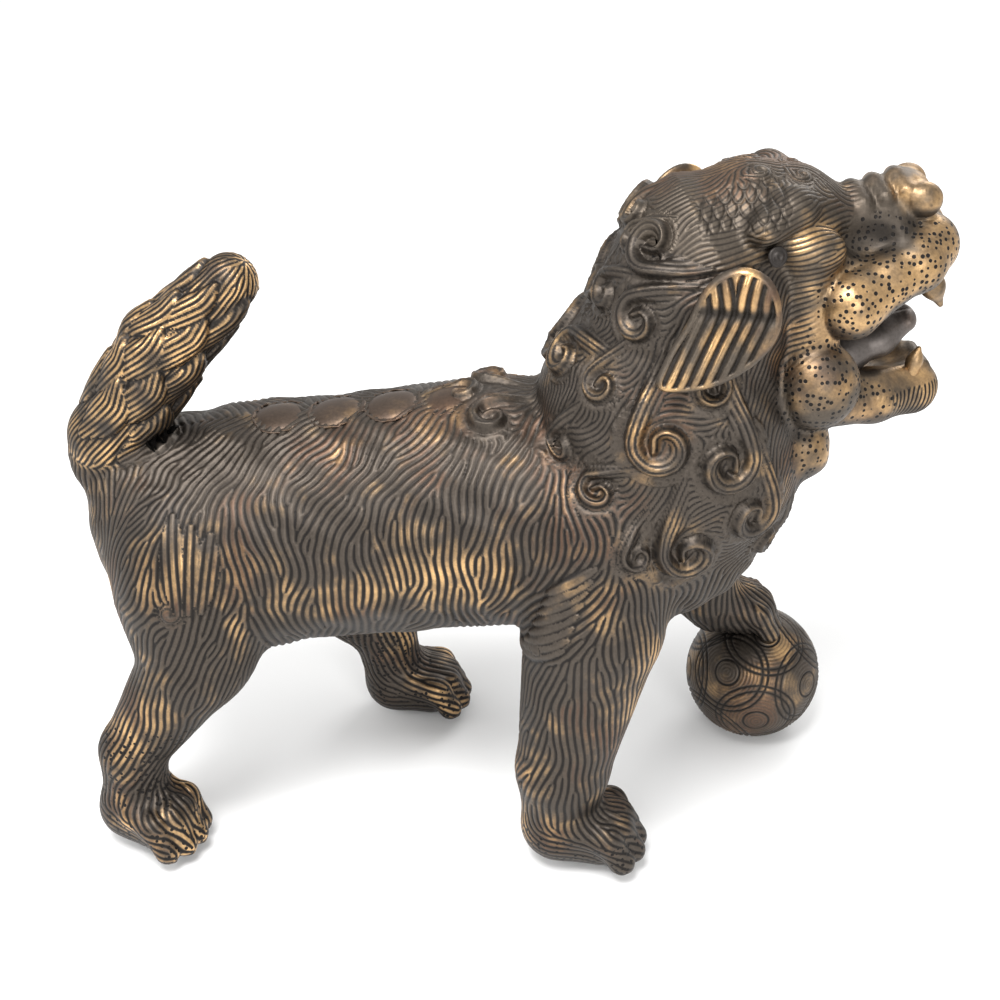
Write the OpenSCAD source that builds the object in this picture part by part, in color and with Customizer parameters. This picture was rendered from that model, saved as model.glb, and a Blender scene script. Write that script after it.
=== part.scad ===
// Guardian lion in hollow cast bronze, striding, with one forepaw on a ball.
// Every casting is a shell of its own with a saddle that fits its neighbour, and dowels join them.
// +X is the way the lion walks, +Y its left side, +Z up. The soles rest on z = 0.

/* [Torso] */
// Radius of the barrel of the body
barrel_radius = 46; // [40:0.5:54]
// Distance from the hip centre to the chest centre
barrel_length = 148; // [124:1:178]
// Height of the barrel axis at the hips
hip_height = 124; // [114:1:149]
// How much higher the chest centre is than the hips
chest_rise = 18; // [8:1:26]
// Radius of the rump
rump_radius = 42; // [36:0.5:46]
// Wall of every hollow casting
wall = 4; // [3:0.25:5.5]

/* [Mane and face] */
// Radius of the ruff round the neck
mane_radius = 53; // [46:0.5:60]
// Height of the ruff centre above the chest centre
mane_lift = 44; // [37:1:52]
// Radius of the crown behind the face
crown_radius = 37; // [32:0.5:42]
// Height of the crown centre above the ruff centre
crown_lift = 49; // [42:1:58]
// Turn of the face to the left, in degrees
face_turn = 12; // [0:1:24]
// Reach of the lips ahead of the neck axis
nose_reach = 85; // [76:1:102]
// Height from the jaw line to the lip line
jaw_gape = 58; // [50:1:68]
// Radius of an eyeball
eye_radius = 4; // [3:0.25:5]
// Length of an ear from root to tip
ear_length = 50; // [40:1:60]

/* [Forelegs] */
// Sideways distance from the midline to a forepaw
fore_track = 46; // [40:1:55]
// Radius of the right elbow
elbow_radius = 27; // [22.5:0.5:32.5]
// Radius of the right foreleg above the paw
wrist_radius = 17.5; // [15:0.5:21]
// Radius of a paw across the pad
paw_radius = 15; // [13:0.5:18]
// Length of a paw from heel centre to toe centre
paw_length = 23; // [19:1:28]

/* [Hind legs] */
// Sideways distance from the midline to a hind paw
hind_track = 46; // [41:1:56]
// Radius of the right haunch
haunch_radius = 34; // [30:0.5:40]
// Radius of the right hock
hock_radius = 13.5; // [11:0.5:16]
// How far the right hock trails the hip
trail_step = 52; // [44:1:62]
// How far the left hock leads the hip
lead_step = 34; // [28:1:42]

/* [Tail] */
// Radius of the tail above its collar
tail_radius = 16; // [13:0.5:19]
// Radius of the tip of the tail
tail_tip_radius = 11; // [9:0.5:13]
// Length of the tail from collar to tip centre
tail_length = 82; // [68:1:98]

/* [Ball and bosses] */
// Radius of the ball
ball_radius = 28.5; // [23.5:0.5:33]
// Radius of the flat that the ball stands on
ball_flat = 7; // [5:0.5:9]
// Number of bosses along the spine
boss_count = 4; // [2:1:5]
// Spacing of the bosses along the spine
boss_pitch = 21.5; // [18:0.5:24]
// How far a boss stands above the back
boss_height = 2.4; // [1.5:0.1:4]

/* [Joints between castings] */
// Radius of the dowels in the large castings
dowel_radius = 4; // [3:0.25:5]
// Radius of the dowels in the ears and jaw
small_dowel_radius = 2; // [1.5:0.25:2.5]
// How far a dowel reaches past the wall on each side
dowel_stub = 3; // [2:0.5:4]
// Gap between a dowel and its bore
dowel_gap = 0.25; // [0.15:0.05:0.4]
// Gap between a round seat and the piece in it
seat_gap = 0.15; // [0.1:0.05:0.3]
// Radius of the plug that closes the core hole in the belly
core_plug_radius = 10; // [8:0.5:13]

/* [Hidden] */
body_fn = 20;    // facets round the torso, mane and head
limb_fn = 16;    // facets round a leg or the tail
lip_fn = 12;     // facets round a lip, a jowl or an ear
trim_fn = 8;     // facets round a toe, a curl or a tuft
bore_fn = 20;    // facets round a bore
sole_cut = 1.5;  // how much of a round pad the flat sole takes off
bore_spare = 0.5;   // how much deeper a bore is than its dowel
plug_inset = 1.2;   // how far the core plug lies inside the belly
fang_root = 4;      // depth of a fang's round root
upper_fang_radius = 2.4;
lower_fang_radius = 1.9;
curl_radius = 9.5;  // radius of a curl of the mane
tuft_radius = 12;   // radius of a tuft of the beard
boss_radius = 10;   // half the length of a boss on the spine
boss_start = 15.5;  // how far the first boss lies behind the lion's middle
right = -1;      // side of the lion's right, on -Y
left = 1;        // side of the lion's left, on +Y

bronze = [0.36, 0.30, 0.24];
worn_bronze = [0.62, 0.47, 0.28];
dark_bronze = [0.25, 0.22, 0.20];
dowel_bronze = [0.70, 0.55, 0.32];

// Reach of the body's two ends, which sets the middle of the whole lion on x = 0.
lip_radius = 11.5;
lip_side = 12;
tail_root_radius = 14;
rear_reach = 15 + rump_radius + tail_root_radius;
head_reach = 6 + nose_reach * cos(face_turn) + lip_side * sin(face_turn) + lip_radius;
whole_length = rear_reach + barrel_length + head_reach;

// The spine, from the hip to the chest, and the line of the neck.
hip = [rear_reach - whole_length / 2, 0, hip_height];
chest = hip + [barrel_length, 0, chest_rise];
rump = hip + [-28, 0, 2];
tail_root = hip + [tail_root_radius - rear_reach, 0, 28];
ruff = chest + [6, 0, mane_lift];
crown = ruff + [6, 0, crown_lift];

// Every limb is a list of [centre, radius] stations.
saddle = hip + [barrel_length * 0.62, 0, chest_rise * 0.78];
torso_line = [[tail_root, tail_root_radius], [rump, rump_radius], [hip, barrel_radius],
              [saddle, barrel_radius + 1], [chest, barrel_radius]];
mane_line = [[chest + [0, 0, 8], barrel_radius + 4], [ruff, mane_radius], [crown, crown_radius]];

// Stations of the legs, down to the wrist or the hock.
shoulder_right = chest + [-16, -0.52 * fore_track, 8];
elbow_right = chest + [-18, -0.83 * fore_track, -32];
wrist_right = [chest.x - 28, -0.96 * fore_track, 3 * paw_radius];
foreleg_right_line = [[shoulder_right, 32], [elbow_right, elbow_radius],
                      [wrist_right, wrist_radius]];
shoulder_left = chest + [-4, 0.56 * fore_track, -2];
elbow_left = chest + [14, 0.74 * fore_track, -37];
ball_centre = [chest.x + 50, fore_track, sqrt(pow(ball_radius, 2) - pow(ball_flat, 2))];
ball_top = ball_centre.z + ball_radius;
wrist_left = [chest.x + 28, 0.87 * fore_track, ball_top + 16];
foreleg_left_line = [[shoulder_left, 31], [elbow_left, 21], [wrist_left, 13]];
haunch_right = hip + [-26, -0.6 * hind_track, -8];
stifle_right = hip + [-27, -0.85 * hind_track, -38];
hock_right = [hip.x - trail_step, -hind_track, 42];
hind_right_line = [[haunch_right, haunch_radius], [stifle_right, 23], [hock_right, hock_radius]];
haunch_left = hip + [-12, 0.6 * hind_track, -14];
stifle_left = hip + [8, 0.83 * hind_track, -46];
hock_left = [hip.x + lead_step, 0.95 * hind_track, 42];
hind_left_line = [[haunch_left, 30], [stifle_left, 20], [hock_left, hock_radius]];

// The tail leans forward as it rises, and its last third leans more.
tail_base = tail_root + [3, 0, 11];
tail_bend = tail_base + tail_length * 0.54 * [0.51, 0, 0.86];
tail_tip = tail_bend + tail_length * 0.46 * [0.66, 0, 0.75];
tail_line = [[tail_base, tail_radius], [tail_bend, tail_radius - 0.5], [tail_tip, tail_tip_radius]];

// Places in the face, measured from the ruff centre along the turned face.
lip_line = 56;
jaw_line = lip_line - jaw_gape;
brow_height = crown_lift + 23;
eye_place = [27, 27, crown_lift + 18];
ear_root = [20, 37, crown_lift + 13];
ear_tip = ear_root + ear_length * unit([-38, 15, -28]);

// Where each dowel starts, which way it points and how far along it the joint face lies.
leg_dowel_runs = [
    dowel_run(spine_point(elbow_right.x), elbow_right, barrel_radius + 0.4),
    dowel_run(spine_point(shoulder_left.x), shoulder_left - [0, 0, 16], barrel_radius + 0.4),
    dowel_run(hip + [-20, 0, 1], stifle_right, 43.4),
    dowel_run(hip + [-4, 0, 0], stifle_left + [-6, 0, 12], barrel_radius)
];
neck_dowel_runs = [for (side = [right, left])
    dowel_run(chest, chest + [4, side * 14, 40], barrel_radius)];
face_dowel_runs = [for (side = [right, left])
    dowel_run(crown, crown + turned([40, side * 12, 4]), crown_radius)];
jaw_dowel_runs = [for (side = [right, left])
    dowel_run(ruff, ruff + turned([50, side * 17, jaw_line + 5]), mane_radius)];
ear_dowel_runs = [for (side = [right, left])
    dowel_run(crown, ruff + turned(ear_middle(side)), crown_radius)];
tail_dowel_run = dowel_run(tail_root, tail_bend, tail_root_radius + 0.6);
ball_dowel_run = dowel_run(ball_centre, ball_centre + [0, 0, 1], ball_radius);
core_run = dowel_run(spine_point(0), spine_point(0) - [0, 0, 1], barrel_radius);

function unit(v) = v / norm(v);
function spine_point(x) = hip + (x - hip.x) / barrel_length * (chest - hip);
function back_top(x) = barrel_radius + hip.z
    + (x - hip.x) / (saddle.x - hip.x) * (saddle.z + 1 - hip.z);
function dowel_run(from, to, reach) = [from, unit(to - from), reach];
function turned(v) = [v.x * cos(face_turn) - v.y * sin(face_turn),
                      v.x * sin(face_turn) + v.y * cos(face_turn), v.z];
function sided(v, side) = [v.x, side * v.y, v.z];
function ear_middle(side) = sided((ear_root * 0.62 + ear_tip * 0.38) - [0, 6, 0], side);

module station(s, grow, fn) translate(s[0]) sphere(s[1] + grow, $fn = fn);

// A limb: the hull of each pair of neighbouring stations.
module limb(line, grow = 0, fn = limb_fn)
    for (i = [0 : len(line) - 2]) hull() {
        station(line[i], grow, fn);
        station(line[i + 1], grow, fn);
    }

module torso_form(grow = 0) limb(torso_line, grow, body_fn);
module mane_form(grow = 0) limb(mane_line, grow, body_fn);
module face_frame() translate(ruff) rotate([0, 0, face_turn]) children();

// A rod along the run, from `under` below the joint face to `over` above it.
module rod(run, under, over, r) {
    tilt = acos(run[1].z);
    heading = atan2(run[1].y, run[1].x);
    translate(run[0]) rotate([0, tilt, heading])
        translate([0, 0, run[2] - under]) cylinder(h = under + over, r = r, $fn = bore_fn);
}
module dowels(runs, r) for (run = runs) rod(run, wall + dowel_stub, wall + dowel_stub, r);
module dowel_bores(runs, r) for (run = runs) {
    depth = wall + dowel_stub + bore_spare;
    rod(run, depth, depth, r + dowel_gap);
}

// Everything under the ground is cut off, which leaves the flat soles.
module ground() translate([-300, -200, -60]) cube([600, 400, 60]);

// A paw: the pad from heel to toes, with a row of toes at the front.
module paw(heel, heading, length, r, toes = 4) {
    translate([heel.x, heel.y, heel.z]) rotate([0, 0, heading]) {
        hull() {
            sphere(r, $fn = limb_fn);
            translate([length, 0, 0]) scale([1, 1.12, 1]) sphere(r * 0.94, $fn = limb_fn);
        }
        toe_step = 2 * r * 0.8 / (toes - 1);
        for (i = [0 : toes - 1]) {
            across = toe_step * (i - (toes - 1) / 2);
            translate([length + r * 0.62 - abs(across) * 0.32, across, -r * 0.3])
                sphere(r * 0.4, $fn = trim_fn);
        }
    }
}

// Rows of curls round the ruff and down the back of the neck.
module mane_curls() {
    for (row = [0 : 3]) {
        centre = ruff + [0, 0, -16 + 22 * row];
        reach = [mane_radius - 3, mane_radius - 3, mane_radius - 10, crown_radius + 1][row];
        for (turn = [60 + 12 * (row % 2) : 24 : 300])
            translate(centre + [cos(turn) * reach, sin(turn) * reach, 0])
                rotate([0, 0, turn]) scale([0.6, 1, 1.05]) sphere(curl_radius, $fn = trim_fn);
    }
}

module torso() color(bronze) difference() {
    torso_form();
    torso_form(-wall);
    dowel_bores(leg_dowel_runs, dowel_radius);
    dowel_bores(neck_dowel_runs, dowel_radius);
    dowel_bores([tail_dowel_run], dowel_radius);
    rod(core_run, 3 * wall, 3 * wall, core_plug_radius);
}

module core_plug() color(dowel_bronze)
    rod(core_run, wall, -plug_inset, core_plug_radius - seat_gap);

// Two round tufts of beard under the jowls.
module beard() for (side = [right, left])
    face_frame() translate([47, side * 19, jaw_line - 15]) sphere(tuft_radius, $fn = lip_fn);

module mane() color(bronze) difference() {
    union() {
        mane_form();
        mane_curls();
        beard();
    }
    torso_form();
    difference() {
        mane_form(-wall);
        torso_form(wall);
    }
    dowel_bores(neck_dowel_runs, dowel_radius);
    dowel_bores(face_dowel_runs, dowel_radius);
    dowel_bores(jaw_dowel_runs, small_dowel_radius);
    dowel_bores(ear_dowel_runs, small_dowel_radius);
    eyeballs(seat_gap, body_fn);
}

// The face casting: forehead, brows, muzzle, upper lips and jowls.
skull_stations = [[[15, 0, crown_lift + 5], 33], [[41, 0, brow_height - 4], 20]];
muzzle_stations = [[[41, 0, brow_height - 6], 19],
                   [[nose_reach - 9, 0, brow_height - 2], 13]];
module lips(side, grow) {
    limb([[[nose_reach, side * lip_side, lip_line], lip_radius],
          [[nose_reach - 13, side * 18, lip_line - 4], 9.5],
          [[nose_reach - 30, side * 24, lip_line - 13], 12]], grow, lip_fn);
    limb([[[nose_reach - 32, side * 24, lip_line - 16], 11],
          [[nose_reach - 39, side * 26, 15], 14.5]], grow, lip_fn);
}
// The flank of the muzzle, which closes the side of the mouth from the lip up to the bridge.
module muzzle_flank(side, grow) hull() {
    station([[44, side * 10, brow_height - 12], 14], grow, lip_fn);
    station([[nose_reach - 14, side * 5, brow_height - 6], 10], grow, lip_fn);
    station([[nose_reach - 4, side * lip_side, lip_line + 2], 8.5], grow, lip_fn);
    station([[nose_reach - 32, side * 23, lip_line - 12], 9.5], grow, lip_fn);
}
module face_form(grow = 0) face_frame() {
    limb(skull_stations, grow, body_fn);
    limb(muzzle_stations, grow, limb_fn);
    for (side = [right, left]) {
        lips(side, grow);
        muzzle_flank(side, grow);
        limb([[[34, side * 17, brow_height + 4], 10.5],
              [[44, side * 8, brow_height + 3], 12]], grow, lip_fn);
    }
}
module nostrils() for (side = [right, left])
    face_frame() translate([nose_reach - 1, side * 8, brow_height + 1]) sphere(6.5, $fn = trim_fn);

module face() color(worn_bronze) difference() {
    union() {
        face_form();
        nostrils();
    }
    mane_form();
    mane_curls();
    difference() {
        face_frame() {
            limb(skull_stations, -wall, body_fn);
            limb(muzzle_stations, -wall, limb_fn);
        }
        mane_form(wall);
    }
    dowel_bores(face_dowel_runs, dowel_radius);
    dowel_bores(jaw_dowel_runs, small_dowel_radius);
    eyeballs(seat_gap, body_fn);
    for (side = [right, left]) fang_seat(side);
}

module eyeballs(grow, fn) for (side = [right, left])
    face_frame() translate(sided(eye_place, side)) sphere(eye_radius + grow, $fn = fn);
module eyes() color(dark_bronze) eyeballs(0, 48);

// A fang is a cone with a round root that is set into the lip or the jaw.
upper_fang_place = [nose_reach + 3, 9.5, lip_line - lip_radius];
lower_fang_place = [nose_reach - 1, 9, jaw_line + 9];
module fang(root_radius, length) {
    cylinder(h = length, r1 = root_radius, r2 = 0.6, $fn = bore_fn);
    translate([0, 0, -fang_root]) cylinder(h = fang_root, r = root_radius, $fn = bore_fn);
}
module fang_seat(side) face_frame() translate(sided(upper_fang_place, side))
    cylinder(h = fang_root + seat_gap, r = upper_fang_radius + seat_gap, $fn = bore_fn);
module upper_fangs() color(worn_bronze)
    for (side = [right, left])
        face_frame() translate(sided(upper_fang_place, side)) rotate([180, 0, 0])
            fang(upper_fang_radius, 7);
module lower_fangs() color(worn_bronze)
    for (side = [right, left])
        face_frame() translate(sided(lower_fang_place, side)) fang(lower_fang_radius, 5);

// The lower jaw: a U-shaped rim with a floor, seated on the ruff and against the jowls.
module jaw_form() face_frame() {
    for (side = [right, left])
        limb([[[48, side * 19, jaw_line + 6], 11.5],
              [[nose_reach - 13, side * 14, jaw_line + 2], 10.5],
              [[nose_reach + 2, side * 7, jaw_line], 10]], 0, lip_fn);
    hull() for (side = [right, left]) {
        translate([46, side * 12, jaw_line + 2]) sphere(9, $fn = trim_fn);
        translate([nose_reach - 2, side * 6, jaw_line - 2]) sphere(7.5, $fn = trim_fn);
    }
}
module lower_jaw() color(worn_bronze) difference() {
    jaw_form();
    mane_form();
    face_form();
    beard();
    dowel_bores(jaw_dowel_runs, small_dowel_radius);
    for (side = [right, left])
        face_frame() translate(sided(lower_fang_place, side) - [0, 0, fang_root + seat_gap])
            cylinder(h = 9, r = lower_fang_radius + seat_gap, $fn = bore_fn);
}

module tongue() color(dark_bronze) difference() {
    face_frame() hull() {
        translate([50, 0, jaw_line + 11]) scale([1, 1.3, 0.8]) sphere(11, $fn = limb_fn);
        translate([nose_reach - 9, 0, jaw_line + 8]) scale([1, 1, 0.6]) sphere(8, $fn = limb_fn);
    }
    jaw_form();
    mane_form();
    face_form();
}

// An ear: a leaf that hangs back from the temple.
module ear(side) color(worn_bronze) difference() {
    face_frame() {
        hull() {
            ear_lobe(ear_root, side, 7);
            ear_lobe(ear_root * 0.6 + ear_tip * 0.4, side, 14);
        }
        hull() {
            ear_lobe(ear_root * 0.6 + ear_tip * 0.4, side, 14);
            ear_lobe(ear_tip, side, 2.5);
        }
    }
    mane_form();
    mane_curls();
    face_form();
    dowel_bores(ear_dowel_runs, small_dowel_radius);
}
module ear_lobe(place, side, r)
    translate(sided(place, side)) rotate([side * 14, 0, side * -18]) scale([1, 0.34, 1])
        sphere(r, $fn = lip_fn);
module ear_right() ear(right);
module ear_left() ear(left);

// A hollow leg: cut to saddle on the torso, with a flat sole.
module leg(line) difference() {
    union() {
        limb(line);
        children(0);
    }
    torso_form();
    mane_form();
    difference() {
        limb(line, -wall);
        torso_form(wall);
        mane_form(wall);
    }
    dowel_bores(leg_dowel_runs, dowel_radius);
    ground();
}
module foreleg_right() color(bronze) difference() {
    heel = [wrist_right.x - 1, wrist_right.y, paw_radius + 1 - sole_cut];
    leg(foreleg_right_line) union() {
        hull() {
            station([wrist_right, wrist_radius], 0, limb_fn);
            station([heel, paw_radius + 1], 0, limb_fn);
        }
        paw(heel, -4, paw_length, paw_radius + 1);
    }
    mane_curls();
}
module foreleg_left() color(bronze) difference() {
    leg(foreleg_left_line) {
        heel = [ball_centre.x - 20, 0.93 * fore_track, ball_top + 9];
        union() {
            hull() {
                station([wrist_left, 13], 0, limb_fn);
                station([heel, 12], 0, limb_fn);
            }
            paw(heel, 8, paw_length - 2, 12);
        }
    }
    translate(ball_centre) sphere(ball_radius + seat_gap, $fn = 64);
    dowel_bores([ball_dowel_run], dowel_radius);
}
module hind_leg_right() color(bronze) leg(hind_right_line) {
    heel = [hock_right.x - 1, hock_right.y, paw_radius - sole_cut];
    union() {
        hull() {
            station([hock_right, hock_radius], 0, limb_fn);
            station([heel, paw_radius], 0, limb_fn);
        }
        paw(heel, -28, paw_length, paw_radius);
    }
}
module hind_leg_left() color(bronze) leg(hind_left_line) {
    heel = [hock_left.x + 4, hock_left.y, paw_radius - sole_cut];
    union() {
        hull() {
            station([hock_left, hock_radius], 0, limb_fn);
            station([heel, paw_radius], 0, limb_fn);
        }
        paw(heel, 0, paw_length, paw_radius);
    }
}

// The tail: a club of overlapping locks, seated on the root that rises from the rump.
module tail() color(bronze) difference() {
    union() {
        limb(tail_line);
        for (row = [0 : 3], turn = [0 : 60 : 300]) {
            along = 0.12 + 0.2 * row;
            centre = tail_base + along * (tail_tip - tail_base) + [-3 * sin(180 * along), 0, 0];
            translate(centre) rotate([0, 36, turn + 30 * row]) translate([tail_radius - 3, 0, 0])
                scale([0.5, 0.8, 1.6]) sphere(7, $fn = trim_fn);
        }
    }
    torso_form();
    difference() {
        limb(tail_line, -wall);
        torso_form(wall);
    }
    dowel_bores([tail_dowel_run], dowel_radius);
}

module ball() color(bronze) difference() {
    translate(ball_centre) sphere(ball_radius, $fn = 96);
    translate(ball_centre) sphere(ball_radius - wall, $fn = 96);
    dowel_bores([ball_dowel_run], dowel_radius);
    ground();
}

// Low oval bosses in a row along the spine, seated on the back.
module spine_bosses() color(worn_bronze) {
    for (i = [0 : boss_count - 1]) {
        x = -boss_start - boss_pitch * i;
        difference() {
            translate([x, 0, back_top(x) + boss_height - 5])
                rotate([0, -7, 0]) scale([1, 0.9, 0.5]) sphere(boss_radius, $fn = limb_fn);
            torso_form();
        }
    }
}

module leg_dowels() color(dowel_bronze) dowels(leg_dowel_runs, dowel_radius);
module neck_dowels() color(dowel_bronze) dowels(neck_dowel_runs, dowel_radius);
module face_dowels() color(dowel_bronze) dowels(face_dowel_runs, dowel_radius);
module jaw_dowels() color(dowel_bronze) dowels(jaw_dowel_runs, small_dowel_radius);
module ear_dowels() color(dowel_bronze) dowels(ear_dowel_runs, small_dowel_radius);
module tail_dowel() color(dowel_bronze) dowels([tail_dowel_run], dowel_radius);
module ball_dowel() color(dowel_bronze) dowels([ball_dowel_run], dowel_radius);

torso();
mane();
face();
lower_jaw();
tongue();
eyes();
upper_fangs();
lower_fangs();
ear_right();
ear_left();
foreleg_right();
foreleg_left();
hind_leg_right();
hind_leg_left();
tail();
ball();
spine_bosses();
core_plug();
leg_dowels();
neck_dowels();
face_dowels();
jaw_dowels();
ear_dowels();
tail_dowel();
ball_dowel();
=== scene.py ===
"""Dresses the bronze guardian lion: the modelled surface, its chased hair and curls, and the patina."""

import math

import bpy
import numpy as np
import openvdb as vdb
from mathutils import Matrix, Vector


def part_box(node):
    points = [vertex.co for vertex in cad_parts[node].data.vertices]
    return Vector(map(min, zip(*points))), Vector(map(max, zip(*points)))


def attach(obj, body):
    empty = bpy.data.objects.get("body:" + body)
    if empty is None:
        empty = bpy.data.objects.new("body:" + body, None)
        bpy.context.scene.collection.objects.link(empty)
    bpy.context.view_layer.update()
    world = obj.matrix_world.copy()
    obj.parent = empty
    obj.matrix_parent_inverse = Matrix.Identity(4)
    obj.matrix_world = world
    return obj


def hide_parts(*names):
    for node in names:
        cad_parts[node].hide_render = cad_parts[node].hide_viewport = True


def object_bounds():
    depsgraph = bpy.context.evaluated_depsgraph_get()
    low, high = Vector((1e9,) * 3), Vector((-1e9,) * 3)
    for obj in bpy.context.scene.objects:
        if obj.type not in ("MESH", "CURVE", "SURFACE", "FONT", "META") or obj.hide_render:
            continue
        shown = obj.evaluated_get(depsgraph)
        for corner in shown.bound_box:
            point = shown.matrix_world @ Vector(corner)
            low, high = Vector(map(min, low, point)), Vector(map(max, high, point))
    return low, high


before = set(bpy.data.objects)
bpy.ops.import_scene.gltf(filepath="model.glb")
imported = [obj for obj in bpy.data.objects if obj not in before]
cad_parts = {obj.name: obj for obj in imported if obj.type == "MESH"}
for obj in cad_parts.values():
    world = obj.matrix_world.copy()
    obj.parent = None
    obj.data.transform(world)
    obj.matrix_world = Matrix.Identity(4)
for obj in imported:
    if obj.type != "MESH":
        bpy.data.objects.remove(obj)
CAD_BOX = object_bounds()
MM = 0.001
RIGHT, LEFT = -1, 1


# ---------------------------------------------------------------- places, in millimetres, from the frame

def corners(node):
    low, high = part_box(node)
    return np.array(low) / MM, np.array(high) / MM


def vec(x, y, z):
    return np.array([x, y, z], float)


ball_low, ball_high = corners("ball")
BALL_RADIUS = (ball_high[0] - ball_low[0]) / 2
BALL_CENTRE = (ball_low + ball_high) / 2
BALL_CENTRE[2] = ball_high[2] - BALL_RADIUS
BARREL_RADIUS = 46.0
BARREL_LENGTH = 148.0
CHEST = vec(corners("torso")[1][0] - BARREL_RADIUS, 0, 142)
HIP = vec(CHEST[0] - BARREL_LENGTH, 0, 124)
TAIL_ROOT = HIP + vec(-55, 0, 37)
TAIL_RUN = vec(50, 0, 65)
RUFF = CHEST + vec(6, 0, 44)
CROWN = RUFF + vec(6, 0, 49)
FACE_DEGREES = 12
FACE_TURN = math.radians(FACE_DEGREES)
FACE_X = vec(math.cos(FACE_TURN), math.sin(FACE_TURN), 0)
FACE_Y = vec(-math.sin(FACE_TURN), math.cos(FACE_TURN), 0)
UP = vec(0, 0, 1)


def face(x, y, z):
    """A place in the turned face: x ahead of the neck, y to the lion's left, z over the ruff's centre."""
    return RUFF + x * FACE_X + y * FACE_Y + z * UP


def face_axes(p):
    """Points as x, y, z of the turned face."""
    q = p - RUFF
    return np.stack([q @ FACE_X, q @ FACE_Y, q[:, 2]], 1)


def face_sides(p):
    """Points in the turned face's axes, and the same with the right side laid over the left."""
    q = face_axes(p)
    return q, np.stack([q[:, 0], np.abs(q[:, 1]), q[:, 2]], 1)


# ---------------------------------------------------------------- solid forms as distance fields

def limb(p, stations):
    """Distance to a chain of rounded cones, from [centre, radius] stations."""
    best = None
    for (a, ra), (b, rb) in zip(stations[:-1], stations[1:]):
        ab = b - a
        t = np.clip(((p - a) @ ab) / (ab @ ab), 0, 1)
        d = np.linalg.norm(p - a - t[:, None] * ab, axis=1) - (ra + (rb - ra) * t)
        best = d if best is None else blend(best, d, 3.0)
    return best


def ball(p, centre, radius):
    return np.linalg.norm(p - centre, axis=1) - radius


def egg(p, centre, radii, axes=None):
    """Distance to an ellipsoid, with its own axes as rows if it is turned."""
    q = p - centre
    if axes is not None:
        q = q @ np.asarray(axes).T
    q = q / radii
    k0 = np.linalg.norm(q, axis=1)
    k1 = np.linalg.norm(q / radii, axis=1) + 1e-9
    return k0 * (k0 - 1) / k1


def blend(a, b, k):
    """Union of two forms with a fillet of about k."""
    h = np.clip(0.5 + 0.5 * (b - a) / k, 0, 1)
    return b + (a - b) * h - k * h * (1 - h)


def carve(a, b, k):
    """Form a with form b cut out of it, and the edge eased by k."""
    return -blend(-a, b, k)


# ---------------------------------------------------------------- the lion's forms, node by node

def torso_form(p):
    saddle = HIP + vec(92, 0, 14)
    d = limb(p, [[HIP, BARREL_RADIUS], [saddle, BARREL_RADIUS + 1], [CHEST, BARREL_RADIUS]])
    d = blend(d, limb(p, [[HIP + vec(-26, 0, 2), 40], [HIP, BARREL_RADIUS]]), 6)
    root = HIP + vec(-57, 0, 28)
    return blend(d, limb(p, [[HIP + vec(-30, 0, 6), 34], [root, 15]]), 8)


def haunch_form(p, side):
    """The big muscle over a hind leg, which swells from the rump."""
    if side == RIGHT:
        d = egg(p, HIP + vec(-24, -26, -8), vec(29, 27, 39))
        return blend(d, egg(p, HIP + vec(-19, -31, -30), vec(23, 21, 27)), 10)
    d = egg(p, HIP + vec(-18, 27, -10), vec(33, 25, 36))
    return blend(d, egg(p, HIP + vec(0, 33, -38), vec(24, 19, 24)), 10)


def hind_leg_form(p, side):
    if side == RIGHT:
        stifle = HIP + vec(-23, -38, -40)
        hock = vec(HIP[0] - 49, -43, 43)
        heel = hock + vec(-1, -1, -26)
        d = limb(p, [[HIP + vec(-23, -30, -18), 26], [stifle, 20], [hock, 12.5]])
        d = blend(d, limb(p, [[hock, 13], [heel, 12.5]]), 4)
        return blend(d, paw_form(p, heel + vec(-2, 0, 0), math.radians(-24)), 5)
    stifle = HIP + vec(8, 38, -46)
    hock = vec(HIP[0] + 39, 45, 42)
    heel = hock + vec(5, 1, -26)
    d = limb(p, [[HIP + vec(-8, 30, -20), 25], [stifle, 20], [hock, 13]])
    d = blend(d, limb(p, [[hock, 13], [heel, 12.5]]), 4)
    return blend(d, paw_form(p, heel, 0), 5)


def foreleg_form(p, side):
    if side == RIGHT:
        elbow = CHEST + vec(-18, -38, -32)
        wrist = vec(CHEST[0] - 28, -44, 45)
        heel = wrist + vec(-1, 0, -27)
        d = limb(p, [[CHEST + vec(-16, -25, 4), 31], [elbow, 26], [wrist, 17.5]])
        d = blend(d, limb(p, [[wrist, 17.5], [heel, 14]]), 4)
        return blend(d, paw_form(p, heel, math.radians(-4), 1.07), 5)
    elbow = CHEST + vec(14, 34, -37)
    wrist = vec(CHEST[0] + 28, 40, BALL_CENTRE[2] + BALL_RADIUS + 16)
    heel = wrist + vec(3, 2, -6)
    d = limb(p, [[CHEST + vec(-4, 25, -2), 31], [elbow, 21], [wrist, 13]])
    d = blend(d, limb(p, [[wrist, 13], [heel, 11]]), 4)
    d = blend(d, paw_form(p, heel + vec(2, 0, 0), math.radians(8), 0.86, droop=0.32), 5)
    return carve(d, ball(p, BALL_CENTRE, BALL_RADIUS + 0.3), 1.5)


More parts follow.
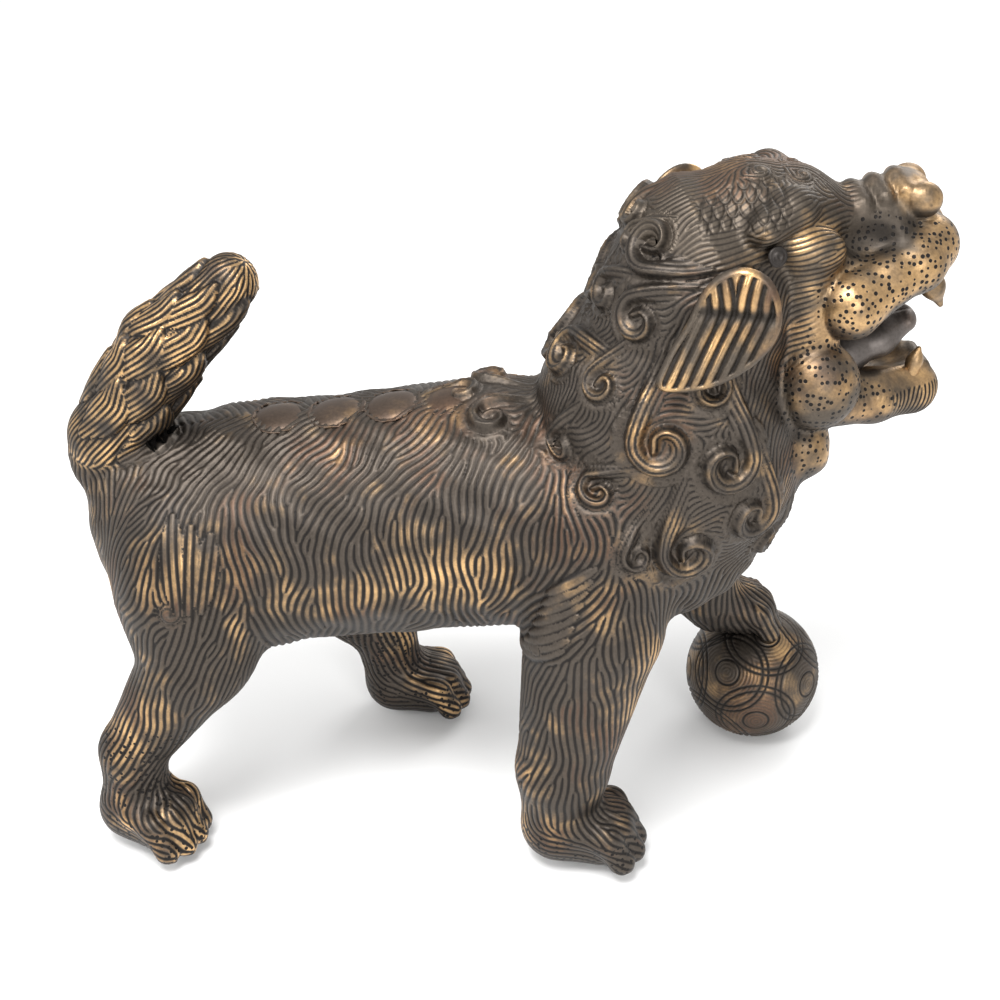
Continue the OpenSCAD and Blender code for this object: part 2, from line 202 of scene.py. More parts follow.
def paw_form(p, heel, heading, scale=1.0, droop=0.0):
    """A paw from its heel: a pad, four toes that arch over it, and a claw on each toe."""
    along = vec(math.cos(heading), math.sin(heading), 0)
    across = vec(-math.sin(heading), math.cos(heading), 0)

    def at(x, y, z):
        return heel + scale * (x * along + y * across + (z - 16 - droop * max(x - 8, 0)) * UP)

    d = limb(p, [[at(0, 0, 14), 13 * scale], [at(15, 0, 13), 13 * scale]])
    toes = None
    for y in (-10.2, -3.5, 3.5, 10.2):
        reach = 24 - 0.035 * y * y
        toe = limb(p, [[at(reach - 12, y * 0.8, 19), 6.6 * scale], [at(reach - 2, y, 17.5), 5.4 * scale],
                       [at(reach + 4, y * 1.06, 8), 5.0 * scale]])
        claw = limb(p, [[at(reach + 5, y * 1.07, 9), 3.0 * scale],
                        [at(reach + 6.6, y * 1.09, 5.6), 1.9 * scale]])
        toe = blend(toe, claw, 0.6)
        toes = toe if toes is None else blend(toes, toe, 0.9)
    return blend(d, toes, 2.2)


def tail_form(p):
    bend = TAIL_ROOT + vec(24, 0, 38)
    d = limb(p, [[TAIL_ROOT, 16.5], [bend, 15], [TAIL_ROOT + TAIL_RUN, 10.6]])
    return blend(d, limb(p, [[TAIL_ROOT + vec(-2, 0, -8), 13.5], [TAIL_ROOT, 15]]), 3)


def mane_form(p):
    d = limb(p, [[CHEST + vec(0, 0, 6), 47], [RUFF + vec(1, 0, -4), 48], [CROWN + vec(4, 0, -6), 33]])
    d = blend(d, egg(p, RUFF + vec(3, 0, -24), vec(48, 48, 34)), 8)
    return blend(d, egg(p, CROWN + vec(2, 0, -8), vec(33, 36, 33)), 8)


def face_form(p):
    """Forehead, brows, muzzle, upper lips and jowls, made in the turned face's axes."""
    q, m = face_sides(p)
    d = limb(q, [[vec(14, 0, 54), 33], [vec(38, 0, 66), 21]])
    d = blend(d, egg(q, vec(24, 0, 74), vec(15, 20, 15)), 6)
    muzzle = limb(q, [[vec(40, 0, 62), 17.5], [vec(60, 0, 62), 14.5], [vec(75, 0, 67), 12.5]])
    muzzle = blend(muzzle, limb(m, [[vec(46, 9, 58), 14], [vec(74, 8, 60), 11]]), 4)
    d = blend(d, muzzle, 6)
    brow = limb(m, [[vec(24, 24, 74), 6.5], [vec(36, 17, 77.5), 7.5], [vec(47, 7, 74), 6.5]])
    d = blend(d, brow, 4)
    d = carve(d, egg(m, vec(28, 32, 66), vec(7.5, 4.5, 5)), 3)
    d = blend(d, egg(m, vec(42, 22, 64), vec(12, 7, 8.5)), 3)
    d = blend(d, limb(m, [[vec(42, 15, 52), 13], [vec(44, 17, 34), 12], [vec(43, 18, 18), 12]]), 4)
    d = carve(d, egg(m, vec(63, 18, 66), vec(10, 5.5, 7)), 5)
    nose = egg(q, vec(81, 0, 75), vec(8.5, 10.5, 7.6))
    nose = blend(nose, egg(m, vec(84.5, 8.8, 75), vec(6.8, 5.6, 6.4)), 1.4)
    for x, height in ((62, 75.5), (69.5, 77.5), (77, 79.5)):
        fold = limb(m, [[vec(x, 0, height), 4.4], [vec(x + 1.5, 7.5, height - 1.5), 3.4]])
        nose = blend(nose, fold, 1.4)
    nose = carve(nose, egg(m, vec(90.6, 6.6, 72), vec(3.2, 2.6, 2.6)), 1.0)
    d = blend(d, nose, 2.2)
    lip = limb(m, [[vec(86.5, 9, 57.5), 11.6], [vec(82, 14.5, 54.5), 10.8], [vec(71, 19.5, 50.5), 9.4],
                   [vec(57, 23.5, 44), 12.4]])
    lip = blend(lip, limb(q, [[vec(89.5, -7, 58), 9], [vec(89.5, 7, 58), 9]]), 5)
    d = blend(d, lip, 1.6)
    d = blend(d, egg(m, vec(47, 26, 14.5), vec(15.5, 14, 16)), 2.0)
    palate = limb(q, [[vec(100, 0, 37), 13], [vec(60, 0, 36), 11.5], [vec(50, 0, 30), 10]])
    return carve(d, palate, 3)


def jaw_form(p):
    q, m = face_sides(p)
    d = limb(m, [[vec(48, 19, 5), 11], [vec(72, 14, 2), 9.8], [vec(88, 8, 1), 9.2]])
    d = blend(d, limb(q, [[vec(90, -6, 1), 9], [vec(90, 6, 1), 9]]), 5)
    d = blend(d, limb(q, [[vec(44, 0, -3), 14], [vec(80, 0, -2), 8.5]]), 5)
    rim = limb(m, [[vec(56, 20, 12), 2.6], [vec(72, 16.5, 10), 2.6], [vec(87, 10.5, 9.3), 2.6]])
    rim = blend(rim, limb(q, [[vec(93, -7, 9.3), 2.6], [vec(93, 7, 9.3), 2.6]]), 4)
    d = blend(d, rim, 1.6)
    hollow = limb(q, [[vec(52, 0, 18), 11], [vec(84, 0, 15), 6.5]])
    return carve(d, hollow, 2)


def beard_form(p):
    q, m = face_sides(p)
    return blend(egg(m, vec(45, 18, -15), vec(12, 12, 13)), egg(q, vec(46, 0, -19), vec(12, 12, 14)), 4)


FAR = 40.0


def within(p, low, high, form):
    """A form's distance inside its reach, and a far value elsewhere."""
    inside = np.all((p > low) & (p < high), 1)
    d = np.full(len(p), FAR)
    if inside.any():
        d[inside] = form(p[inside])
    return d


def lion(p, labels=False):
    """Distance to the whole lion, and on request which casting each point belongs to."""
    p = np.asarray(p, float)
    torso = torso_form(p)
    hind = [within(p, HIP + vec(-95, -90, -140), HIP + vec(95, 90, 60),
                   lambda q, s=s: blend(haunch_form(q, s), hind_leg_form(q, s), 6)) for s in (RIGHT, LEFT)]
    fore = [within(p, CHEST + vec(-80, -100, -160), CHEST + vec(90, 100, 60),
                   lambda q, s=s: foreleg_form(q, s)) for s in (RIGHT, LEFT)]
    tail = within(p, HIP + vec(-110, -50, -20), HIP + vec(30, 50, 150), tail_form)
    mane = within(p, CHEST + vec(-85, -95, -85), CROWN + vec(110, 95, 70),
                  lambda q: blend(mane_form(q), beard_form(q), 3))
    head = within(p, RUFF + vec(-50, -80, -40), RUFF + vec(130, 90, 120), face_form)
    jaw = within(p, RUFF + vec(-10, -60, -50), RUFF + vec(130, 80, 60), jaw_form)
    if labels:
        each = np.stack([torso, mane, head, jaw, fore[0], fore[1], hind[0], hind[1], tail])
        return np.argmin(each, 0)
    d = torso
    for leg in hind:
        d = blend(d, leg, 7)
    for leg in fore:
        d = blend(d, leg, 7)
    d = blend(d, tail, 2.5)
    d = blend(d, mane, 4)
    d = blend(d, blend(head, jaw, 3), 3)
    return carve(d, p[:, 2], 1.2)


# ---------------------------------------------------------------- the skin: quads over the whole lion

CELL = 1.25
BLOCK = 4
MARGIN = 8.0
UNDERSIDE = -4.0
CHUNK = 60000
CASTINGS = ["torso", "mane", "face", "lower_jaw", "foreleg_right", "foreleg_left",
            "hind_leg_right", "hind_leg_left", "tail"]
TORSO, FACE, JAW = (CASTINGS.index(node) for node in ("torso", "face", "lower_jaw"))


def fill_grid(form, low, high, cell):
    """A form's distances on a grid: in coarse blocks everywhere, finely only where the surface passes."""
    blocks = np.ceil((high - low) / (cell * BLOCK)).astype(int)
    axes = [low[i] + cell * BLOCK * np.arange(blocks[i] + 1) for i in range(3)]
    coarse = form(np.stack(np.meshgrid(*axes, indexing="ij"), -1).reshape(-1, 3)).reshape(blocks + 1)
    near = np.zeros(blocks, bool)
    for shift in np.ndindex(2, 2, 2):
        near |= np.abs(coarse[tuple(slice(s, s + n) for s, n in zip(shift, blocks))]) < cell * BLOCK * 1.9
    grid = coarse
    for axis in range(3):
        first = np.take(grid, range(blocks[axis]), axis)
        rise = np.take(grid, range(1, blocks[axis] + 1), axis) - first
        grid = np.stack([first + rise * k / BLOCK for k in range(BLOCK)], axis + 1)
        shape = list(first.shape)
        shape[axis] *= BLOCK
        grid = grid.reshape(shape)
    inner = np.indices((BLOCK,) * 3).reshape(3, -1).T
    cells = (np.argwhere(near)[:, None, :] * BLOCK + inner).reshape(-1, 3)
    for start in range(0, len(cells), CHUNK):
        part = cells[start:start + CHUNK]
        grid[tuple(part.T)] = form(low + cell * part)
    return grid.astype(np.float32)


def quads_of(grid, low, cell):
    """The zero surface of a grid, as quads that face outward."""
    volume = vdb.FloatGrid(3.0 * cell)
    volume.copyFromArray(grid)
    points, quads = volume.convertToQuads(0.0)
    points = low + points * cell
    centre = points[quads].mean(1)
    across = np.cross(points[quads[:, 2]] - points[quads[:, 0]], points[quads[:, 3]] - points[quads[:, 1]])
    if np.sum(across * centre) < 0:
        quads = quads[:, ::-1]
    return points, quads.astype(np.int64)


def reader(grid, low, cell):
    """A function that gives the distance and the outward normal at any points."""
    slopes = np.gradient(grid, cell)
    table = np.stack([grid] + slopes, -1).astype(np.float32)

    def read(p):
        g = np.clip((p - low) / cell, 0, np.array(grid.shape) - 1.001)
        i = g.astype(int)
        f = g - i
        total = np.zeros((len(p), 4))
        for shift in np.ndindex(2, 2, 2):
            weight = np.prod(np.where(shift, f, 1 - f), 1)
            total += weight[:, None] * table[tuple((i + shift).T)]
        steep = np.linalg.norm(total[:, 1:], axis=1) + 1e-6
        return total[:, 0] / steep, total[:, 1:] / steep[:, None]
    return read


def settle(p, rounds=2):
    """Points moved onto the skin, and the normals there."""
    for _ in range(rounds):
        d, n = surface(p)
        p = p - d[:, None] * n
    return p, surface(p)[1]


def split(quads, count):
    """Each quad in four. Gives the new quads, and for each new point the old ones it lies between."""
    ends = np.sort(np.stack([quads, np.roll(quads, -1, 1)], -1).reshape(-1, 2), 1)
    code, first, back = np.unique(ends[:, 0] * count + ends[:, 1], return_index=True, return_inverse=True)
    middle = count + back.reshape(-1, 4)
    centre = count + len(code) + np.arange(len(quads))
    parts = [np.stack([quads[:, k], middle[:, k], centre, middle[:, k - 1]], 1) for k in range(4)]
    return np.stack(parts, 1).reshape(-1, 4), [ends[first], quads]


def vertex_normals(points, quads):
    across = np.cross(points[quads[:, 2]] - points[quads[:, 0]], points[quads[:, 3]] - points[quads[:, 1]])
    total = np.stack([sum(np.bincount(quads[:, k], across[:, c], len(points)) for k in range(4))
                      for c in range(3)], 1)
    return total / (np.linalg.norm(total, axis=1)[:, None] + 1e-12)


def ease(values, quads, rounds):
    """Values at the points, evened out with their neighbours."""
    ends = np.stack([quads, np.roll(quads, -1, 1)], -1).reshape(-1, 2)
    a, b = ends[ends[:, 0] < ends[:, 1]].T
    count = len(values)
    share = (np.bincount(a, minlength=count) + np.bincount(b, minlength=count))[:, None]
    for _ in range(rounds):
        total = np.stack([np.bincount(a, column[b], count) + np.bincount(b, column[a], count)
                          for column in values.T], 1)
        values = (values + total / share) / 2
    return values


def unit(v):
    return v / (np.linalg.norm(v, axis=-1, keepdims=True) + 1e-9)


def flat_on(v, n):
    """A direction laid into the surface."""
    return v - np.sum(v * n, 1)[:, None] * n


def smooth_step(x):
    x = np.clip(x, 0, 1)
    return x * x * (3 - 2 * x)


def waves(p, length, seed, terms=7):
    """Smooth wandering values, about -1 to 1, that change over about the given length."""
    rng = np.random.default_rng(seed)
    total = np.zeros(len(p))
    for _ in range(terms):
        way = unit(rng.normal(size=3))
        rate = 2 * math.pi / length * rng.uniform(0.6, 1.4)
        total += np.sin(p @ way * rate + rng.uniform(0, 2 * math.pi))
    return total / math.sqrt(terms)


def hump(p, centre, reach):
    """1 at a place, easing to 0 over its reach."""
    return np.exp(-np.sum(((p - centre) / reach) ** 2, 1))


# ---------------------------------------------------------------- locks: curls, flames and tufts

class Lock:
    """A raised lock of hair along a path on the skin, with its own strands."""

    def __init__(self, path, widths, lift, one_sided=True, pitch=1.9):
        steps = np.linalg.norm(np.diff(path, axis=0), axis=1)
        run = np.concatenate([[0], np.cumsum(steps)])
        samples = np.linspace(0, run[-1], max(int(run[-1] / 0.9), 6))
        path = np.stack([np.interp(samples, run, path[:, c]) for c in range(3)], 1)
        self.points, self.normals = settle(path, 3)
        self.tangents = unit(flat_on(np.gradient(self.points, axis=0), self.normals))
        self.inward = np.cross(self.normals, self.tangents)
        self.along = samples / run[-1]
        self.widths = np.interp(self.along, np.linspace(0, 1, len(widths)), widths)
        self.lift, self.one_sided, self.pitch = lift, one_sided, pitch
        self.middle = self.points.mean(0)
        self.reach = np.linalg.norm(self.points - self.middle, axis=1).max() + max(widths) + 9

    def flip(self):
        self.inward = -self.inward
        return self


def meet(start, way):
    """Where a line that comes in from outside meets the skin."""
    way = unit(np.asarray(way, float))
    p = (start + way * 95)[None]
    for _ in range(90):
        p = p - way * np.clip(surface(p)[0], -1, 3)[:, None]
    return p[0]


def curl(place, radius, spin, lean=0, tail=2.0, lift=None):
    """A J-shaped curl: its strand comes down from above, rounds the foot and winds into the middle."""
    n = surface(place[None])[1][0]
    up = unit(UP - (UP @ n) * n) if abs(n[2]) < 0.95 else unit(-FACE_X + (FACE_X @ n) * n)
    right = np.cross(up, n)
    turn = math.radians(lean)
    right, up = right * math.cos(turn) + up * math.sin(turn), up * math.cos(turn) - right * math.sin(turn)
    drop = np.linspace(1, 0, 12)[:-1]
    flat = [(-radius * (1 - 0.25 * d * d), radius * tail * d) for d in drop]
    for s in np.linspace(0, 1, 44):
        angle = math.pi + 2 * math.pi * s
        r = radius * (1 - 0.66 * s ** 1.1)
        flat.append((r * math.cos(angle), r * math.sin(angle)))
    flat = np.array(flat)
    path = place + spin * flat[:, :1] * right + flat[:, 1:] * up
    widths = radius * np.array([0.3, 0.75, 0.92, 0.92, 0.8, 0.55, 0.34])
    made = Lock(path, widths, lift or 1.2 + 0.22 * radius, True, 1.9)
    return made if spin > 0 else made.flip()


def flame(points, width, lift, pitch=1.9):
    """A flame-shaped lock along a few places, widest past its middle and pointed at its end."""
    points = np.array(points, float)
    t = np.linspace(0, 1, 24)
    span = np.linspace(0, 1, len(points))
    path = np.stack([np.interp(t, span, points[:, c]) for c in range(3)], 1)
    for _ in range(6):
        path[1:-1] = (path[:-2] + 2 * path[1:-1] + path[2:]) / 4
    widths = width * np.array([0.35, 0.75, 1.0, 0.95, 0.7, 0.25])
    return Lock(settle(path, 4)[0], widths, lift, False, pitch)


# angle round the neck from straight ahead, height over the ruff, radius, spin and lean, for the right side
MANE_CURLS = [(141, -5, 8.5, 1, -28), (118, -15, 9.5, 1, -62), (93, 6, 14, 1, -10), (66, -2, 14, -1, 8),
              (79, -37, 14, 1, -6), (53, -25, 12.5, -1, 4), (126, 21, 9, 1, -30), (72, 24, 9, -1, 20),
              (112, 45, 11.5, 1, -62), (114, 68, 12.5, -1, -75), (150, 47, 9.5, 1, -60),
              (160, 22, 12, 1, -78), (166, -3, 10, 1, -60), (140, 66, 8, 1, -50), (30, -45, 10, -1, 0),
              (100, -36, 8, 1, -30)]


def mane_place(angle, height):
    return meet(RUFF + height * UP, vec(math.cos(angle), math.sin(angle), 0))


def mane_locks():
    """The mane's curls on both sides and down the nape, and two pairs on the forehead."""
    locks = []
    for side in (RIGHT, LEFT):
        for angle, height, radius, spin, lean in MANE_CURLS:
            around = angle if side == RIGHT else angle + 2 * FACE_DEGREES * (1 - angle / 170)
            place = mane_place(math.radians(around) * side, height)
            locks.append(curl(place, radius, -side * spin, -side * lean))
    for height, radius, spin in ((72, 9, 1), (46, 10, -1), (20, 10, 1), (-2, 9, -1)):
        locks.append(curl(mane_place(math.pi, height), radius, spin, 0, 1.6))
    for side in (RIGHT, LEFT):
        for x in (26, 41):
            locks.append(curl(meet(face(x, 6.5 * side, 40), UP), 4.6, -side, 0, 1.2, 0.9))
    return locks


def tail_locks():
    """Flames in overlapping rows round the tail, each row half a step on from the last."""
    ahead = unit(TAIL_RUN)
    side_way = vec(0, 1, 0)
    front_way = np.cross(ahead, side_way)
    locks = []
    for row in range(5):
        for k in range(5):
            around = math.radians(72 * k + 36 * (row % 2) + 12)
            stops = []
            for step, swing in ((0, -0.22), (9, 0.02), (18, 0.2), (26, 0.05)):
                along = 3 + row * 13.5 + step
                bow = 5.5 * math.sin(math.pi * min(along / 82, 1))
                centre = TAIL_ROOT + along * ahead + bow * unit(vec(-65, 0, 50))
                turn = around + swing
                out = math.cos(turn) * side_way + math.sin(turn) * front_way
                stops.append(centre + (16 - 0.06 * along) * out)
            locks.append(flame(stops, 8.2 - 0.7 * row, 2.4))
    return locks


def leg_locks():
    """The tuft and whorl on each haunch, and the whorl and twisted fringe at each elbow."""
    locks = []
    for side in (RIGHT, LEFT):
        away = vec(0, 95 * side, 0)
        shift = vec(0 if side == RIGHT else 12, 0, 0)
        locks.append(curl(meet(HIP + vec(-25, 0, -6) + shift, away), 5.2, side, 0, 1.0, 1.5))
        for k in range(3):
            top = HIP + vec(-24 + 7 * k, 0, 26 - 3 * k) + shift
            stops = [meet(top + vec((2 - 3 * k) * z / 30, 0, -z), away) for z in (0, 11, 22, 32 - 3 * k)]
            locks.append(flame(stops, 5.2, 0.5, 2.8))
        elbow = vec(CHEST[0] - 38, 0, 110) if side == RIGHT else vec(CHEST[0] - 8, 0, 108)
        locks.append(curl(meet(elbow, away), 5.0, -side, 0, 1.0, 1.4))
        for k in range(8):
            root = elbow + vec(20 - 1.5 * k, 0, 36 - 4.6 * k)
            stops = [meet(root + vec(-s, 0, -0.8 * s), away) for s in (0, 6, 12, 17)]
            locks.append(flame(stops, 2.8, 1.0, 5.0))
    return locks


# ---------------------------------------------------------------- hair: its run over each casting

PITCH = np.array([2.9, 2.1, 2.0, 2.0, 2.7, 2.7, 2.7, 2.7, 2.0])
DEPTH = np.array([0.72, 0.46, 0.34, 0.34, 0.62, 0.62, 0.58, 0.58, 0.46])
WANDER = np.array([0.30, 0.30, 0.12, 0.05, 0.26, 0.26, 0.26, 0.26, 0.12])


def hair_run(p, n, shares):
    """The way the strands run at each point, before it is laid into the skin."""
    sideways = np.sign(p[:, 1])[:, None] * vec(0, 1, 0)
    top = np.clip(n[:, 2], 0, 1)[:, None]
    under = np.clip(-n[:, 2:] - 0.5, 0, 1)
    flank = -UP + top * sideways - top ** 2 * vec(0.8, 0, 0) - under * vec(1.6, 0, 0)
    mane = vec(-0.55, 0, -0.85) + 0.5 * sideways * (1 - top) - 0.9 * top * vec(1, 0, 0.1)
    head = -FACE_X - 0.25 * UP + 0.25 * sideways
    jaw = -UP - 0.2 * FACE_X
    low = smooth_step((30 - p[:, 2:]) / 12)
    runs = [flank, mane, head, jaw]
    for tilt, toe in ((-0.06, 0.0), (0.12, 8.0), (-0.45, -22.0), (0.5, 0.0)):
        turn = math.radians(toe)
        toes = vec(math.cos(turn), math.sin(turn), -0.2)
        runs.append((1 - low) * vec(tilt, 0, -1) + low * toes)
    runs.append(TAIL_RUN)
    total = sum(shares[:, k:k + 1] * unit(run) for k, run in enumerate(runs))
    total = unit(flat_on(total, n))
    turn = (shares @ WANDER) * (0.8 * waves(p, 36, 5) + 0.55 * waves(p, 17, 6))
    turn = turn + shares[:, TORSO] * 0.24 * np.sin(p[:, 2] / 7 + 1.8 * waves(p, 34, 8))
    return total * np.cos(turn)[:, None] + np.cross(n, total) * np.sin(turn)[:, None]


def pull_to_locks(run, p, locks):
    """Hair near a lock turns to run beside it."""
    for lock in locks:
        near = np.nonzero(np.sum((p - lock.middle) ** 2, 1) < lock.reach ** 2)[0]
        if not len(near):
            continue
        gap = np.linalg.norm(p[near][:, None] - lock.points[None], axis=2)
        k = np.argmin(gap, 1)
        strength = 2.2 * np.exp(-gap[np.arange(len(near)), k] / 4.5)
        run[near] += strength[:, None] * lock.tangents[k]
    return unit(run)


def comb(points, quads, waveway):
    """Strand phase over the skin: each point agrees with its neighbours on where the grooves fall."""
    ends = np.stack([quads, np.roll(quads, -1, 1)], -1).reshape(-1, 2)
    ends = ends[ends[:, 0] < ends[:, 1]]
    a, b = ends.T
    step = np.sum((waveway[a] + waveway[b]) / 2 * (points[b] - points[a]), 1)
    turn = np.exp(1j * step)
    count = len(points)
    z = np.exp(1j * np.random.default_rng(11).uniform(0, 2 * math.pi, count))
    for _ in range(260):
        forward, backward = z[a] * turn, z[b] * np.conj(turn)
        total = (np.bincount(b, forward.real, count) + np.bincount(a, backward.real, count)
                 + 1j * (np.bincount(b, forward.imag, count)
                         + np.bincount(a, backward.imag, count)))
        total += 0.4 * z
        z = total / (np.abs(total) + 1e-9)
    return z * np.clip(np.abs(total) / 3.6, 0, 1)


def carry(values, parents):
    """Values for the points that a split added."""
    return np.concatenate([values] + [values[ends].mean(1) for ends in parents])


def carry_phase(z, waveway, old, new, parents):
    """Strand phase for the points that a split added, counted on from the old points round each."""
    made = [z]
    start = len(old)
    for ends in parents:
        here = new[start:start + len(ends)]
        step = np.sum(waveway[ends] * (here[:, None] - old[ends]), 2)
        made.append((z[ends] * np.exp(1j * step)).mean(1))
        start += len(ends)
    return np.concatenate(made)


# ---------------------------------------------------------------- chasing: lift, groove and wear

def lay_locks(p, locks):
    """Height of the locks over the skin, their own grooves, and the dark seam round each."""
    count = len(p)
    height, lines, seam = np.zeros(count), np.zeros(count), np.zeros(count)
    covered = np.zeros(count, bool)
    for lock in locks:
        near = np.nonzero(np.sum((p - lock.middle) ** 2, 1) < lock.reach ** 2)[0]
        if not len(near):
            continue
        away = p[near][:, None] - lock.points[None]
        across = np.einsum("mkc,kc->mk", away, lock.inward)
        gap = np.sqrt(np.einsum("mkc,mkc->mk", away, away))
        row = np.arange(len(near))
        k = np.argmin(gap, 1)
        side = across[row, k]
        if lock.one_sided:
            outside = (side < 0) & (gap[row, k] < 3.2)
            edge = np.where(outside, np.exp(-gap[row, k] / 0.9), 0)
            inner = np.where(across < -0.05, 1e3, gap)
            k = np.argmin(inner, 1)
            a, w = across[row, k], lock.widths[k]
            share = np.clip(a / w, 0, 1)
            form = smooth_step(a / 1.8) * (0.22 + 0.78 * np.exp(-(np.maximum(share - 0.18, 0) / 0.42) ** 2))
            form *= smooth_step((1.0 - share) / 0.5)
            inside = (inner[row, k] < w) & (a >= 0)
        else:
            a, w = side, lock.widths[k]
            share = np.abs(a) / w
            form = np.sqrt(np.clip(1 - share ** 2.4, 0, 1))
            inside = gap[row, k] < w
            edge = np.where(inside, 0, np.exp(-(gap[row, k] - w) / 0.8))
        rise = smooth_step(lock.along[k] / (0.3 if lock.one_sided else 0.7))
        rise = np.where(inside, lock.lift * form * (0.25 + 0.75 * rise), 0)
        wins = rise > height[near]
        hidden = covered[near] & ~wins
        seam[near] = np.maximum(seam[near] * np.where(wins, 0.35, 1), np.where(hidden, 0, edge))
        where = near[wins]
        height[where] = rise[wins]
        lines[where] = (2 * math.pi / lock.pitch) * a[wins]
        covered[where] = True
    return height, lines, covered, seam


def chase(p, n, z, shares, quads):
    """Everything that is cut or raised on the skin. Gives moved points and the values that colour them."""
    torso, mane, head, jaw, fore_right, _, hind_right, hind_left, _ = shares.T
    m = face_sides(p)[1]
    sharp, lines, covered, seam = lay_locks(p, LOCKS)
    height = ease(sharp[:, None], quads, 4)[:, 0]
    step = np.clip(np.abs(height - sharp) / 0.22, 0, 1)
    coherence = np.abs(z)
    wave = np.where(covered, np.cos(lines), z.real / (coherence + 1e-6))
    calm = np.where(covered, 1, smooth_step((coherence - 0.25) / 0.45)) * (1 - 0.5 * step)
    rounded = 0.72 + (1 - (0.5 - 0.5 * wave) ** 1.5 - 0.72) * calm
    depth = shares @ DEPTH
    depth = depth * (0.85 + 0.2 * waves(p, 20, 22))
    depth = np.where(covered, 0.42, depth * (0.1 + 0.9 * calm))
    lip = (hump(m, vec(86, 12, 57), vec(13, 12, 11)) + hump(m, vec(70, 22, 51), vec(12, 11, 9))
           + hump(m, vec(57, 27, 45), vec(14, 12, 12)))
    jowl = hump(m, vec(47, 32, 14), vec(14, 14, 15))
    jaw_patch = jaw * hump(m, vec(66, 20, 0), vec(13, 14, 9))
    beard = mane * hump(m, vec(48, 22, -15), vec(12, 14, 12))
    snout = smooth_step((m[:, 0] - 50 - 0.4 * (m[:, 2] - 60)) / 7) * smooth_step((m[:, 2] - 40) / 8)
    smooth_face = np.clip(snout + 1.7 * lip + 1.9 * jowl, 0, 1)
    bare = np.clip(smooth_face * (head + mane) + 1.4 * jaw_patch + 1.5 * beard, 0, 1)
    bare = np.maximum(bare, jaw * smooth_step((m[:, 2] - 4) / 4))
    toes = smooth_step((26 - p[:, 2]) / 10) * (fore_right + hind_right + hind_left)
    depth = depth * (1 - bare) * (1 - 0.75 * toes) * (1 - 0.85 * step)
    lumps = 0.35 * waves(p, 15, 21) * (torso + mane * ~covered)
    scales, scale_lines = brow_scales(m, head)
    depth = depth * (1 - scales)
    offset = height + depth * (rounded - 0.55) + lumps - 0.45 * seam * (1 - bare)
    offset = offset - 0.5 * scales * scale_lines
    dots = np.clip(1.3 * lip * head + 1.6 * jowl + 1.4 * jaw_patch + 1.5 * beard, 0, 1)
    hollow = head * hump(m, vec(68, 16, 66), vec(13, 10, 7))
    dots = np.maximum(dots, np.maximum(hollow, 0.9 * leg_dots(p, fore_right, hind_right + hind_left)))
    ridge = rounded + (0.78 - 0.5 * hollow - rounded) * smooth_step((bare - 0.3) / 0.4)
    ridge = ridge * (1 - 0.8 * seam) * (1 - 0.75 * scales * scale_lines)
    ridge = ridge * (1 - 0.25 * (1 - np.clip(coherence * 1.3, 0, 1)) * ~covered)
    # the head and mane get paler grooves, and upward faces of the torso are lightened as painted light from
    # above
    painted_top_light = smooth_step((n[:, 2] - 0.45) / 0.4) * torso
    ridge = ridge + (1 - ridge) * (0.35 * head + 0.12 * mane + 0.4 * painted_top_light) * (1 - bare)
    # faces that turn downward are darkened as painted shade
    ridge = np.clip(ridge * (1 - 0.25 * smooth_step((-n[:, 2] - 0.1) / 0.7)), 0, 1)
    return p + offset[:, None] * n, ridge, rub_and_painted_shade(p, m, n, shares, height, lip, jowl), dots


def brow_scales(m, head):
    """A strip of scales along the side of the head above the eye: its mask, and its lines."""
    along, down = m[:, 0] - 0.1 * m[:, 2], 86 - m[:, 2] + 0.08 * m[:, 0]
    strip = head * smooth_step((along + 8) / 4) * smooth_step((26 - along) / 4)
    strip *= smooth_step((down + 1) / 2) * smooth_step((14 - down) / 3) * smooth_step((m[:, 1] - 9) / 4)
    row = np.floor(down / 3.4)
    u = (along / 4.2 + 0.5 * (row % 2)) % 1 - 0.5
    v = (down / 3.4) % 1
    arc = np.abs(np.hypot(u * 1.6, v - 0.15) - 0.72)
    return strip, np.exp(-(arc / 0.16) ** 2)


def leg_dots(p, fore, hind):
    """Pricked dots down the hind shanks and over the paws."""
    shank = smooth_step((70 - p[:, 2]) / 12) * smooth_step((p[:, 2] - 20) / 8) * 0.55
    foot = smooth_step((24 - p[:, 2]) / 6) * 0.6
    return (hind + fore) * (shank * hind + foot)


